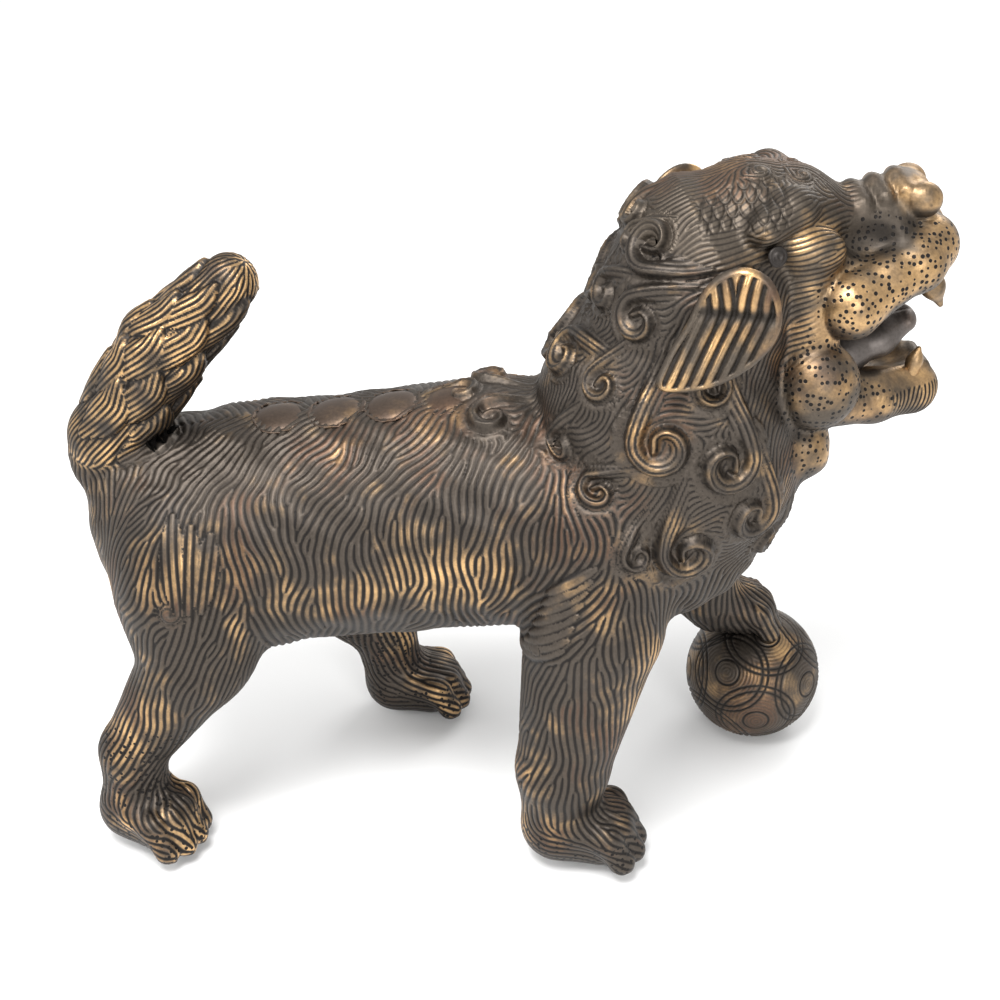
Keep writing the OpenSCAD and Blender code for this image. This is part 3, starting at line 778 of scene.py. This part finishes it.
def rub_and_painted_shade(p, m, n, shares, height, lip, jowl):
    """Where handling has brought the brass up through the patina, with less brass on faces that turn downward
    as painted shade.
    """
    torso, mane, head, jaw, fore_right, fore_left, hind_right, hind_left, tail = shares.T
    rub = 0.16 + 0.10 * waves(p, 40, 31) + 0.07 * waves(p, 12, 32)
    side = 1 - 0.35 * np.clip(n[:, 2], 0, 1)
    flank = hump(p, vec(-25, -44, 127), vec(48, 40, 20)) + hump(p, vec(-25, 44, 127), vec(48, 40, 20))
    rub += torso * 0.55 * flank * side
    rub += (hind_right + hind_left) * (0.12 + 0.26 * waves(p, 30, 33))
    rub += (fore_right + fore_left) * (0.06 + 0.38 * hump(p, CHEST + vec(2, 0, -52), vec(34, 80, 30)))
    rub += tail * (0.40 + 0.30 * np.clip(n[:, 0], 0, 1) + 0.15 * waves(p, 14, 34))
    rub += np.clip(height / 2.2, 0, 1) * (0.10 + 0.12 * mane)
    rub += (head + mane + jaw) * np.clip(0.88 * lip + 0.5 * jowl, 0, 1)
    rub += jaw * (0.15 + 0.45 * hump(m, vec(78, 14, 4), vec(20, 12, 10)))
    rub += head * 0.55 * (hump(m, vec(44, 20, 66), vec(11, 12, 10)) + hump(m, vec(82, 8, 77), vec(13, 10, 7)))
    rub += mane * 0.5 * hump(m, vec(48, 22, -15), vec(12, 14, 12))
    rub += head * 0.5 * hump(m, vec(84, 14, 59), vec(15, 12, 11))
    rub -= head * 0.35 * hump(m, vec(72, 14, 68), vec(13, 10, 6))
    # less brass on faces that turn downward: painted shade
    return np.clip(rub * (1 - 0.6 * smooth_step((-n[:, 2] - 0.05) / 0.6)), 0, 1)


# ---------------------------------------------------------------- meshes

def make_mesh(name, points, faces, normals=None, values=None):
    """A mesh object from points in millimetres and arrays of faces, with colouring values at its points."""
    mesh = bpy.data.meshes.new(name)
    sizes = np.concatenate([np.full(len(part), part.shape[1]) for part in faces])
    flat = np.concatenate([part.reshape(-1) for part in faces])
    mesh.vertices.add(len(points))
    mesh.vertices.foreach_set("co", (points * MM).astype(np.float32).reshape(-1))
    mesh.loops.add(len(flat))
    mesh.loops.foreach_set("vertex_index", flat.astype(np.int32))
    mesh.polygons.add(len(sizes))
    mesh.polygons.foreach_set("loop_start", np.concatenate([[0], np.cumsum(sizes)[:-1]]).astype(np.int32))
    mesh.polygons.foreach_set("use_smooth", np.ones(len(sizes), bool))
    mesh.update(calc_edges=True)
    for label, data in (values or {}).items():
        mesh.attributes.new(label, "FLOAT", "POINT").data.foreach_set("value", data.astype(np.float32))
    if normals is not None:
        mesh.normals_split_custom_set_from_vertices(normals.astype(np.float32))
    obj = bpy.data.objects.new(name, mesh)
    bpy.context.scene.collection.objects.link(obj)
    return obj


def close_holes(points, quads, normals):
    """Walls that turn each open rim inward, and fan triangles that shut them at a sunk hub."""
    ends = np.stack([quads, np.roll(quads, -1, 1)], -1).reshape(-1, 2)
    count = len(points)
    code = ends[:, 0] * count + ends[:, 1]
    lone = ends[~np.isin(code, ends[:, 1] * count + ends[:, 0])]
    group = np.arange(count)
    while True:
        lowest = np.minimum(group[lone[:, 0]], group[lone[:, 1]])
        before = group.copy()
        np.minimum.at(group, lone[:, 0], lowest)
        np.minimum.at(group, lone[:, 1], lowest)
        if np.array_equal(before, group):
            break
    hubs, hub = np.unique(group[lone[:, 0]], return_inverse=True)
    rim = lone[:, 0]
    size = np.bincount(hub)
    centres = np.stack([np.bincount(hub, points[rim, c]) / size for c in range(3)], 1)
    facing = np.stack([np.bincount(hub, normals[rim, c]) / size for c in range(3)], 1)
    reach = np.bincount(hub, np.linalg.norm(points[rim] - centres[hub], axis=1)) / size
    centres -= 0.6 * reach[:, None] * facing
    slot = np.zeros(count, np.int64)
    slot[rim] = count + np.arange(len(rim))
    sunk = points[rim] - np.minimum(5, 0.5 * reach[hub])[:, None] * normals[rim]
    first, second = slot[lone[:, 0]], slot[lone[:, 1]]
    walls = np.stack([lone[:, 1], lone[:, 0], first, second], 1)
    return np.concatenate([sunk, centres]), walls, np.stack([second, first, count + len(rim) + hub], 1)


def piece_of(name, points, quads, normals, values):
    """One closed casting, cut from the skin."""
    used, back = np.unique(quads, return_inverse=True)
    quads = back.reshape(-1, 4)
    points, normals = points[used], normals[used]
    values = {k: v[used] for k, v in values.items()}
    added, walls, caps = close_holes(points, quads, normals)
    extra = len(added)
    normals = np.concatenate([normals, np.tile(UP, (extra, 1))])
    values = {k: np.concatenate([v, np.zeros(extra)]) for k, v in values.items()}
    return make_mesh(name, np.concatenate([points, added]), [quads, walls, caps], normals, values)


# ---------------------------------------------------------------- the small pieces

FINE = 0.45


def cast_piece(name, form, middle, reach, ridge, rub, cell=FINE):
    """A small solid from its distance field, with its colouring values as numbers or functions."""
    low, high = middle - reach, middle + reach
    points, quads = quads_of(fill_grid(form, low, high, cell), low, cell)
    values = {"ridge": ridge, "rub": rub, "dots": 0.0}
    values = {k: v(points) if callable(v) else np.full(len(points), v) for k, v in values.items()}
    return make_mesh(name, points, [quads], vertex_normals(points, quads), values)


def mirrored(form):
    """A form made for the left side in the face's axes, and its mirror."""
    return lambda p: form(face_sides(p)[1])


EAR_MIDDLE = vec(8, 45.6, 53)
EAR_OUT = unit(vec(-0.295, 0.95, 0.106))
EAR_ALONG = unit(vec(0.955, 0.294, 0.033))
EAR_UP = unit(vec(0, -0.11, 0.994))
EAR_RIM = [(-10, 8), (-4, 15.5), (4.5, 18.5), (13, 15), (17, 6), (17.5, -4), (12, -14), (0, -22.5),
           (-12, -26), (-25, -25), (-20, -12.5), (-13.5, -2)]


def ear_axes(m):
    r = m - EAR_MIDDLE
    return r @ EAR_ALONG, r @ EAR_UP, r @ EAR_OUT


def rim_distance(u, v):
    """Signed distance in the ear's plane to its rim, negative inside."""
    best, inside = np.full(len(u), 1e9), np.zeros(len(u), bool)
    rim = np.array(EAR_RIM, float)
    for _ in range(2):
        nxt = np.roll(rim, -1, 0)
        rim = np.stack([0.75 * rim + 0.25 * nxt, 0.25 * rim + 0.75 * nxt], 1).reshape(-1, 2)
    for (ax, ay), (bx, by) in zip(rim, np.roll(rim, -1, 0)):
        ex, ey = bx - ax, by - ay
        t = np.clip(((u - ax) * ex + (v - ay) * ey) / (ex * ex + ey * ey), 0, 1)
        best = np.minimum(best, np.hypot(u - ax - t * ex, v - ay - t * ey))
        inside ^= ((ay > v) != (by > v)) & (u < (bx - ax) * (v - ay) / (by - ay + 1e-12) + ax)
    return np.where(inside, -best, best)


def ear_ribs(u, v):
    """Rounded ribs either side of the vein: 1 on a rib, 0 in a groove."""
    lower = v < 1.5
    along = np.where(lower, u + 0.42 * (1.5 - v), u - 0.012 * (v - 1.5) ** 2 * np.sign(u - 2))
    wave = 0.5 + 0.5 * np.cos(2 * math.pi * along / 4.1 + 0.6)
    return 1 - (1 - wave) ** 1.5


def ear_form(m):
    u, v, w = ear_axes(m)
    rim = rim_distance(u, v)
    vein = np.exp(-((v - 1.5 + 0.06 * u) / 2.3) ** 2) * smooth_step(-rim / 3)
    bowl = 0.004 * ((u - 2) ** 2 + (v + 2) ** 2) - 1.0 + 2.0 * smooth_step((-v - 6) / 20)
    ribs = np.maximum(ear_ribs(u, v), smooth_step((rim + 2.6) / 0.8))
    rise = 3.6 * np.sqrt(np.clip(-rim / 5.5, 0, 1)) + 1.3 * (ribs - 0.7) * smooth_step(-rim / 1.2)
    front = w - bowl - (rise - 1.2 * vein)
    back = bowl - 2.4 * np.sqrt(np.clip(-rim / 6.5, 0, 1)) - w
    shell = np.maximum(np.maximum(front, back), rim) * 0.75
    root = limb(m, [[vec(16, 31, 58), 6.5], [EAR_MIDDLE + vec(3, -6, -2), 4.5]])
    return blend(shell, root, 2.0)


def ear(side):
    """A ribbed ear in a raised rim, on its root."""
    def laid(p):
        return face_axes(p) * vec(1, side, 1)

    def ridge(p):
        u, v, _ = ear_axes(laid(p))
        vein = np.exp(-((v - 1.5 + 0.06 * u) / 2.6) ** 2)
        edge = smooth_step((rim_distance(u, v) + 2.6) / 0.8)
        return 0.22 + 0.78 * np.clip(np.maximum(ear_ribs(u, v) * (1 - 0.8 * vein), 0.9 * edge), 0, 1)

    def rub(p):
        u, v, _ = ear_axes(laid(p))
        inner = smooth_step(-rim_distance(u, v) / 3)
        return np.clip(0.36 + 0.16 * inner + 0.22 * waves(p, 14, 41), 0, 1)

    name = "ribbed_ear_right" if side == RIGHT else "ribbed_ear_left"
    middle = face(EAR_MIDDLE[0], EAR_MIDDLE[1] * side, EAR_MIDDLE[2])
    return cast_piece(name, lambda p: ear_form(laid(p)), middle, vec(36, 26, 36), ridge, rub)


EYE = vec(27.5, 28.5, 66)


def eye_form(m):
    """An eyeball with a raised ring round it and a sunk pupil."""
    r = m - EYE
    out = unit(vec(0.25, 0.92, 0.3))
    axial = r @ out
    radial = np.linalg.norm(r - axial[:, None] * out, axis=1)
    ring = np.hypot(radial - 3.0, axial - 1.0) - 0.7
    pupil = np.hypot(radial, axial - 2.9) - 1.1
    return carve(blend(ball(m, EYE, 2.7), ring, 0.5), pupil, 0.3)


def tongue_form(p):
    q = face_axes(p)
    d = limb(q * vec(1, 0.62, 1), [[vec(48, 0, 11), 11], [vec(62, 0, 16.5), 9.5], [vec(76, 0, 20.5), 7.2],
                                   [vec(86, 0, 25.5), 4.6]])
    groove = np.hypot(q[:, 1], q[:, 2] - 27 - 0.12 * (q[:, 0] - 60)) - 1.6
    return carve(d, groove, 1.2)


UPPER_FANG = [[vec(87, 12, 50), 4.6], [vec(90.5, 12.5, 43.5), 4.0], [vec(94.5, 12, 36), 1.1]]
LOWER_FANG = [[vec(87, 11.5, 9), 3.0], [vec(88, 11.5, 14), 2.4], [vec(89, 11.5, 18.5), 1.0]]


def fangs(stations):
    return mirrored(lambda m: limb(m, stations))


def ball_mesh(steps):
    """A unit sphere as six gridded faces blown outward, so that its quads are even."""
    grid = np.linspace(-1, 1, steps + 1)
    a, b = np.meshgrid(np.tan(grid * math.pi / 4), np.tan(grid * math.pi / 4), indexing="ij")
    one = np.ones_like(a)
    sides = [(one, a, b), (-one, b, a), (b, one, a), (a, -one, b), (a, b, one), (b, a, -one)]
    points = np.concatenate([np.stack(s, -1).reshape(-1, 3) for s in sides])
    i, j = np.meshgrid(np.arange(steps), np.arange(steps), indexing="ij")
    first = (i * (steps + 1) + j).reshape(-1)
    quad = np.stack([first, first + steps + 1, first + steps + 2, first + 1], 1)
    quads = np.concatenate([quad + k * (steps + 1) ** 2 for k in range(6)])
    code = np.round(unit(points) * 1e5).astype(np.int64)
    _, keep, back = np.unique(code, axis=0, return_index=True, return_inverse=True)
    return unit(points[keep]), back.reshape(-1)[quads]


def petals(way):
    """Engraved petals, where rings about spaced centres cross. 1 on a ridge, 0 in a groove."""
    count = 14
    k = np.arange(count) + 0.5
    lat = np.arccos(1 - 2 * k / count)
    lon = math.pi * (1 + 5 ** 0.5) * k
    seeds = np.stack([np.cos(lon) * np.sin(lat), np.sin(lon) * np.sin(lat), np.cos(lat)], 1)
    gap = np.degrees(np.arccos(np.clip(way @ seeds.T, -1, 1)))
    cuts = np.minimum(np.abs(gap - 36), np.minimum(np.abs(gap - 31), np.abs(gap - 11)))
    hatch = 0.5 + 0.5 * np.cos(2 * math.pi * np.min(gap, 1) / 3.1)
    return (1 - np.exp(-cuts.min(1) ** 2)) * (0.62 + 0.38 * hatch)


def engraved_ball():
    """The ball with its engraving, flat where it stands."""
    ways, quads = ball_mesh(110)
    lines = petals(ways)
    radius = BALL_RADIUS - 0.1 - 0.55 * (1 - lines)
    points = BALL_CENTRE + ways * radius[:, None]
    points[:, 2] = np.maximum(points[:, 2], ball_low[2])
    normals = vertex_normals(points, quads)
    if np.sum(normals * ways) < 0:
        quads, normals = quads[:, ::-1], -normals
    # the brass share rises towards the top of the ball as painted light from above
    rub = np.clip(0.22 + 0.12 * waves(points, 22, 51) + 0.1 * ways[:, 2], 0, 1)
    values = {"ridge": 0.15 + 0.85 * lines, "rub": rub, "dots": np.zeros(len(points))}
    return make_mesh("engraved_ball", points, [quads], normals, values)


def back_height(x):
    return meet(vec(x, 0, 100), UP)[2]


def spine_form(p):
    """Four low oval bosses with a raised rim, bent over the back and tilted to its slope."""
    low, high = corners("spine_bosses")
    d = None
    for k in range(4):
        x = low[0] + 8 + k * (high[0] - low[0] - 16) / 3
        z = back_height(x)
        sag = BARREL_RADIUS - np.sqrt(np.maximum(BARREL_RADIUS ** 2 - p[:, 1] ** 2, 1))
        slope = (back_height(x + 5) - back_height(x - 5)) / 10
        laid = np.stack([p[:, 0], p[:, 1], p[:, 2] + sag - slope * (p[:, 0] - x)], 1)
        boss = egg(laid, vec(x, 0, z - 0.9), vec(9.6, 10.6, 2.4))
        ring = np.hypot((laid[:, 0] - x) / 10.3, laid[:, 1] / 11.8) - 1
        boss = blend(boss, np.hypot(ring * 11, laid[:, 2] - z - 0.1) - 0.6, 0.6)
        d = boss if d is None else blend(d, boss, 0.6)
    return d


# ---------------------------------------------------------------- patina: node groups and materials

def new_group(name, inputs, outputs):
    group = bpy.data.node_groups.new(name, "ShaderNodeTree")
    for label, default in inputs:
        kind = "NodeSocketColor" if isinstance(default, tuple) else "NodeSocketFloat"
        group.interface.new_socket(name=label, in_out="INPUT", socket_type=kind).default_value = default
    for label, kind in outputs:
        group.interface.new_socket(name=label, in_out="OUTPUT", socket_type=kind)
    return group, group.nodes.new("NodeGroupInput"), group.nodes.new("NodeGroupOutput")


def feed(tree, socket, value):
    """Links a socket to another one, or sets it to a number or a colour."""
    if hasattr(value, "is_output"):
        tree.links.new(value, socket)
    else:
        socket.default_value = value


def math_node(tree, kind, a, b, clamp=False):
    node = tree.nodes.new("ShaderNodeMath")
    node.operation, node.use_clamp = kind, clamp
    feed(tree, node.inputs[0], a)
    feed(tree, node.inputs[1], b)
    return node.outputs[0]


def add(tree, a, b):
    return math_node(tree, "ADD", a, b)


def times(tree, a, b):
    return math_node(tree, "MULTIPLY", a, b)


def swing(tree, value, amount):
    """A noise's departure from its middle, times an amount."""
    return times(tree, math_node(tree, "SUBTRACT", value, 0.5), amount)


def mix_node(tree, share, a, b):
    node = tree.nodes.new("ShaderNodeMix")
    node.data_type = "RGBA"
    sockets = [node.inputs["Factor"]] + [s for s in node.inputs if s.type == "RGBA"]
    for socket, value in zip(sockets, (share, a, b)):
        feed(tree, socket, value)
    return [s for s in node.outputs if s.type == "RGBA"][0]


def step_node(tree, value, low, high, out_low=0.0, out_high=1.0):
    """Eases from one value to another as its input goes from low to high."""
    node = tree.nodes.new("ShaderNodeMapRange")
    node.interpolation_type = "SMOOTHSTEP"
    numbers = {"Value": value, "From Min": low, "From Max": high, "To Min": out_low, "To Max": out_high}
    for label, number in numbers.items():
        feed(tree, node.inputs[label], number)
    return node.outputs[0]


def noise_node(tree, place, scale, detail=4.0, rough=0.55):
    node = tree.nodes.new("ShaderNodeTexNoise")
    node.inputs["Scale"].default_value = scale
    node.inputs["Detail"].default_value = detail
    node.inputs["Roughness"].default_value = rough
    tree.links.new(place, node.inputs["Vector"])
    return node.outputs[0]


def stipple_group():
    """Pricked dots a couple of millimetres apart, where the mask lets them through."""
    group, start, end = new_group("pricked_dots", [("Mask", 0.0), ("Per Metre", 430.0), ("Size", 0.26)],
                                  [("Hole", "NodeSocketFloat")])
    size = start.outputs["Size"]
    cells = group.nodes.new("ShaderNodeTexVoronoi")
    cells.inputs["Randomness"].default_value = 0.55
    feed(group, cells.inputs["Vector"], group.nodes.new("ShaderNodeTexCoord").outputs["Object"])
    feed(group, cells.inputs["Scale"], start.outputs["Per Metre"])
    hole = step_node(group, cells.outputs["Distance"], size, add(group, size, 0.09), 1.0, 0.0)
    gate = step_node(group, start.outputs["Mask"], 0.25, 0.5)
    feed(group, end.inputs["Hole"], times(group, hole, gate))
    return group


def patina_group():
    """Aged bronze: near-black in the grooves, grey-brown over the mass and brass where it is rubbed."""
    inputs = [("Ridge", 0.8), ("Rub", 0.3), ("Hole", 0.0), ("Deep", (0.013, 0.011, 0.010, 1.0)),
              ("Skin", (0.092, 0.077, 0.064, 1.0)), ("Red", (0.21, 0.095, 0.048, 1.0)),
              ("Brass", (0.74, 0.465, 0.215, 1.0))]
    outputs = [("Color", "NodeSocketColor"), ("Roughness", "NodeSocketFloat"),
               ("Metallic", "NodeSocketFloat"), ("Height", "NodeSocketFloat")]
    group, start, end = new_group("aged_bronze", inputs, outputs)
    get = start.outputs
    place = group.nodes.new("ShaderNodeTexCoord").outputs["Object"]
    broad = noise_node(group, place, 32, 3)
    blotch = noise_node(group, place, 110, 4)
    grain = noise_node(group, place, 900, 5, 0.7)
    ridge = add(group, get["Ridge"], swing(group, blotch, 0.35))
    ridge = math_node(group, "SUBTRACT", ridge, get["Hole"], True)
    skin = mix_node(group, step_node(group, ridge, 0.08, 0.85), get["Deep"], get["Skin"])
    red_share = times(group, step_node(group, broad, 0.5, 0.68), step_node(group, ridge, 0.5, 0.95))
    warm = mix_node(group, times(group, red_share, 0.35), skin, get["Red"])
    rub = add(group, get["Rub"], swing(group, blotch, 0.9))
    rub = add(group, rub, swing(group, broad, 0.5))
    bright = times(group, step_node(group, rub, 0.22, 0.95), step_node(group, ridge, 0.42, 0.98))
    color = mix_node(group, bright, warm, get["Brass"])
    soot = step_node(group, grain, 0.35, 0.65, 0.75, 1.0)
    feed(group, end.inputs["Color"], mix_node(group, soot, (0.02, 0.017, 0.015, 1.0), color))
    rough = math_node(group, "SUBTRACT", 0.50, times(group, bright, 0.20))
    feed(group, end.inputs["Roughness"], add(group, rough, swing(group, grain, 0.18)))
    feed(group, end.inputs["Metallic"], step_node(group, ridge, 0.05, 0.7, 0.75, 0.95))
    high = add(group, times(group, grain, 0.35), times(group, blotch, 0.5))
    high = math_node(group, "SUBTRACT", high, times(group, get["Hole"], 2.2))
    feed(group, end.inputs["Height"], high)
    return group


PATINA = patina_group()
STIPPLE = stipple_group()
BUMP_STRENGTH = 0.35
BUMP_HEIGHT = 0.0004


def bronze(name, skin, cast=True):
    """A bronze finish. Castings carry their own ridge, rub and dot values; drawn rod takes even ones."""
    material = bpy.data.materials.new(name)
    material.use_nodes = True
    tree = material.node_tree
    shader = tree.nodes["Principled BSDF"]
    patina = tree.nodes.new("ShaderNodeGroup")
    patina.node_tree = PATINA
    patina.inputs["Skin"].default_value = (*skin, 1.0)
    if cast:
        values = []
        for label in ("ridge", "rub", "dots"):
            node = tree.nodes.new("ShaderNodeAttribute")
            node.attribute_name = label
            values.append(node.outputs["Fac"])
        dots = tree.nodes.new("ShaderNodeGroup")
        dots.node_tree = STIPPLE
        feed(tree, dots.inputs["Mask"], values[2])
        feed(tree, patina.inputs["Ridge"], values[0])
        feed(tree, patina.inputs["Rub"], values[1])
        feed(tree, patina.inputs["Hole"], dots.outputs["Hole"])
    lift = tree.nodes.new("ShaderNodeBump")
    lift.inputs["Strength"].default_value = BUMP_STRENGTH
    lift.inputs["Distance"].default_value = BUMP_HEIGHT
    feed(tree, lift.inputs["Height"], patina.outputs["Height"])
    feed(tree, shader.inputs["Normal"], lift.outputs["Normal"])
    for output, socket in (("Color", "Base Color"), ("Roughness", "Roughness"), ("Metallic", "Metallic")):
        feed(tree, shader.inputs[socket], patina.outputs[output])
    return material


SKINS = {"patina_bronze": (0.092, 0.077, 0.064), "worn_bronze": (0.112, 0.092, 0.073),
         "dark_bronze": (0.17, 0.15, 0.138), "red_bronze": (0.118, 0.086, 0.066),
         "dowel_bronze": (0.22, 0.16, 0.10)}
FINISHES = {name: bronze(name, skin, name != "dowel_bronze") for name, skin in SKINS.items()}


def dress(piece, slot, *nodes):
    """Gives a piece its finish and its body, and hides the CAD nodes that it stands for."""
    piece.data.materials.clear()
    piece.data.materials.append(FINISHES[slot])
    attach(piece, "root")
    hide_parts(*nodes)


# ---------------------------------------------------------------- making the lion

def refine(points, quads, waveway, phase, shares):
    """The same skin with four quads for each."""
    quads, parents = split(quads, len(points))
    finer, _ = settle(carry(points, parents))
    phase = carry_phase(phase, waveway, points, finer, parents)
    return finer, quads, carry(waveway, parents), phase, carry(shares, parents)


def cut_castings(points, quads, phase, shares, casting, wanted, slot):
    """Chases a skin and makes one closed piece of each wanted casting."""
    chased, ridge, rub, dots = chase(points, surface(points)[1], phase, shares, quads)
    normals = vertex_normals(chased, quads)
    values = {"ridge": ridge, "rub": rub, "dots": dots}
    for index in wanted:
        node = CASTINGS[index]
        piece = piece_of("chased_" + node, chased, quads[casting == index], normals, values)
        dress(piece, slot, node)


grid_low = np.array(CAD_BOX[0]) / MM - MARGIN
grid_high = np.array(CAD_BOX[1]) / MM + MARGIN
grid_low[2] = UNDERSIDE
grid = fill_grid(lion, grid_low, grid_high, CELL)
surface = reader(grid, grid_low, CELL)
points, quads = quads_of(grid, grid_low, CELL)
points, normals = settle(points)
shares = ease(np.eye(len(CASTINGS))[lion(points, labels=True)], quads, 10)
casting = np.argmax(shares[quads].mean(1), 1)

LOCKS = mane_locks() + tail_locks() + leg_locks()
run = pull_to_locks(hair_run(points, normals, shares), points, LOCKS)
run = unit(flat_on(run, normals))
waveway = np.cross(normals, run) * (2 * math.pi / (shares @ PITCH))[:, None]
phase = comb(points, quads, waveway)

points, quads, waveway, phase, shares = refine(points, quads, waveway, phase, shares)
casting = np.repeat(casting, 4)
body = [index for index in range(len(CASTINGS)) if index not in (FACE, JAW)]
cut_castings(points, quads, phase, shares, casting, body, "patina_bronze")

# the head's skin is made finer still, with a margin of its neighbours so that the shading runs on
touched = np.zeros(len(points), bool)
touched[quads[np.isin(casting, (FACE, JAW))]] = True
beside = touched[quads].any(1)
used, back = np.unique(quads[beside], return_inverse=True)
points, quads, waveway, phase, shares = refine(points[used], back.reshape(-1, 4), waveway[used], phase[used],
                                               shares[used])
cut_castings(points, quads, phase, shares, np.repeat(casting[beside], 4), (FACE, JAW), "worn_bronze")

dress(ear(RIGHT), "worn_bronze", "ear_right")
dress(ear(LEFT), "worn_bronze", "ear_left")
bosses_low, bosses_high = corners("spine_bosses")
bosses_middle = vec((bosses_low[0] + bosses_high[0]) / 2, 0, 186)
# name, CAD node, slot, form, middle and half size of its space, ridge, rub and cell
SMALL_PIECES = [
    ("ringed_eyes", "eyes", "dark_bronze", mirrored(eye_form), face(31, 0, 68), vec(16, 40, 12),
     0.3, 0.1, FINE),
    ("upper_fang_pair", "upper_fangs", "worn_bronze", fangs(UPPER_FANG), face(90, 0, 46), vec(16, 24, 14),
     0.85, 0.5, FINE),
    ("lower_fang_pair", "lower_fangs", "worn_bronze", fangs(LOWER_FANG), face(88, 0, 13), vec(14, 24, 12),
     0.85, 0.5, FINE),
    ("grooved_tongue", "tongue", "dark_bronze", tongue_form, face(68, 0, 16), vec(40, 26, 24),
     0.85, 0.12, FINE),
    ("spine_ridge", "spine_bosses", "red_bronze", spine_form, bosses_middle, vec(60, 20, 16), 0.75, 0.22,
     2 * FINE)]
for name, node, slot, form, middle, reach, ridge, rub, cell in SMALL_PIECES:
    dress(cast_piece(name, form, middle, reach, ridge, rub, cell), slot, node)
dress(engraved_ball(), "patina_bronze", "ball")
for node in ("core_plug", "leg_dowels", "neck_dowels", "face_dowels", "jaw_dowels", "ear_dowels",
             "tail_dowel", "ball_dowel"):
    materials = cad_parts[node].data.materials
    for index in range(len(materials)):
        materials[index] = FINISHES["dowel_bronze"]


# ---------------------------------------------------------------- floor, light and camera

def make_floor():
    material = bpy.data.materials.new("pale_floor")
    material.use_nodes = True
    tree = material.node_tree
    shader = tree.nodes["Principled BSDF"]
    shader.inputs["Roughness"].default_value = 0.85
    place = tree.nodes.new("ShaderNodeTexCoord").outputs["Object"]
    colour = mix_node(tree, noise_node(tree, place, 6, 3), (0.90, 0.90, 0.895, 1), (0.93, 0.93, 0.925, 1))
    feed(tree, shader.inputs["Base Color"], colour)
    bpy.ops.mesh.primitive_plane_add(size=8, location=(0, 0, 0))
    floor = bpy.context.object
    floor.name = "pale_floor"
    floor.data.materials.append(material)


LIT_PLACE = Vector((0, 0, 0.12))


def soft_light(name, place, size, power):
    data = bpy.data.lights.new(name, "AREA")
    data.shape, data.size, data.energy = "SQUARE", size, power
    light = bpy.data.objects.new(name, data)
    bpy.context.scene.collection.objects.link(light)
    light.location = Vector(place)
    light.rotation_euler = (LIT_PLACE - Vector(place)).to_track_quat("-Z", "Y").to_euler()


def make_stage():
    make_floor()
    soft_light("top_softbox", (-0.15, -0.45, 1.1), 0.45, 13)
    soft_light("front_softbox", (0.5, -1.1, 0.6), 0.4, 5)
    soft_light("left_softbox", (-1.0, -0.5, 0.7), 0.4, 4)
    soft_light("rear_softbox", (0.5, 1.0, 0.8), 0.6, 5)
    world = bpy.data.worlds.new("studio")
    world.use_nodes = True
    sky = world.node_tree.nodes["Background"].inputs
    sky["Color"].default_value = (1, 1, 1, 1)
    sky["Strength"].default_value = 0.85
    bpy.context.scene.world = world


CAMERA_TURN = math.radians(4)
CAMERA_RISE = math.radians(32)
CAMERA_DISTANCE = 0.690
CAMERA_TARGET = Vector((1.93 * MM, 0, 138 * MM))
CAMERA_LENS = 65.1


def make_camera():
    data = bpy.data.cameras.new("camera")
    data.lens, data.sensor_width = CAMERA_LENS, 36
    camera = bpy.data.objects.new("camera", data)
    bpy.context.scene.collection.objects.link(camera)
    level = math.cos(CAMERA_RISE)
    back = Vector((math.sin(CAMERA_TURN) * level, -math.cos(CAMERA_TURN) * level, math.sin(CAMERA_RISE)))
    camera.location = CAMERA_TARGET + back * CAMERA_DISTANCE
    camera.rotation_euler = back.to_track_quat("Z", "Y").to_euler()
    bpy.context.scene.camera = camera


make_stage()
make_camera()
bpy.context.scene.view_settings.view_transform = "Standard"
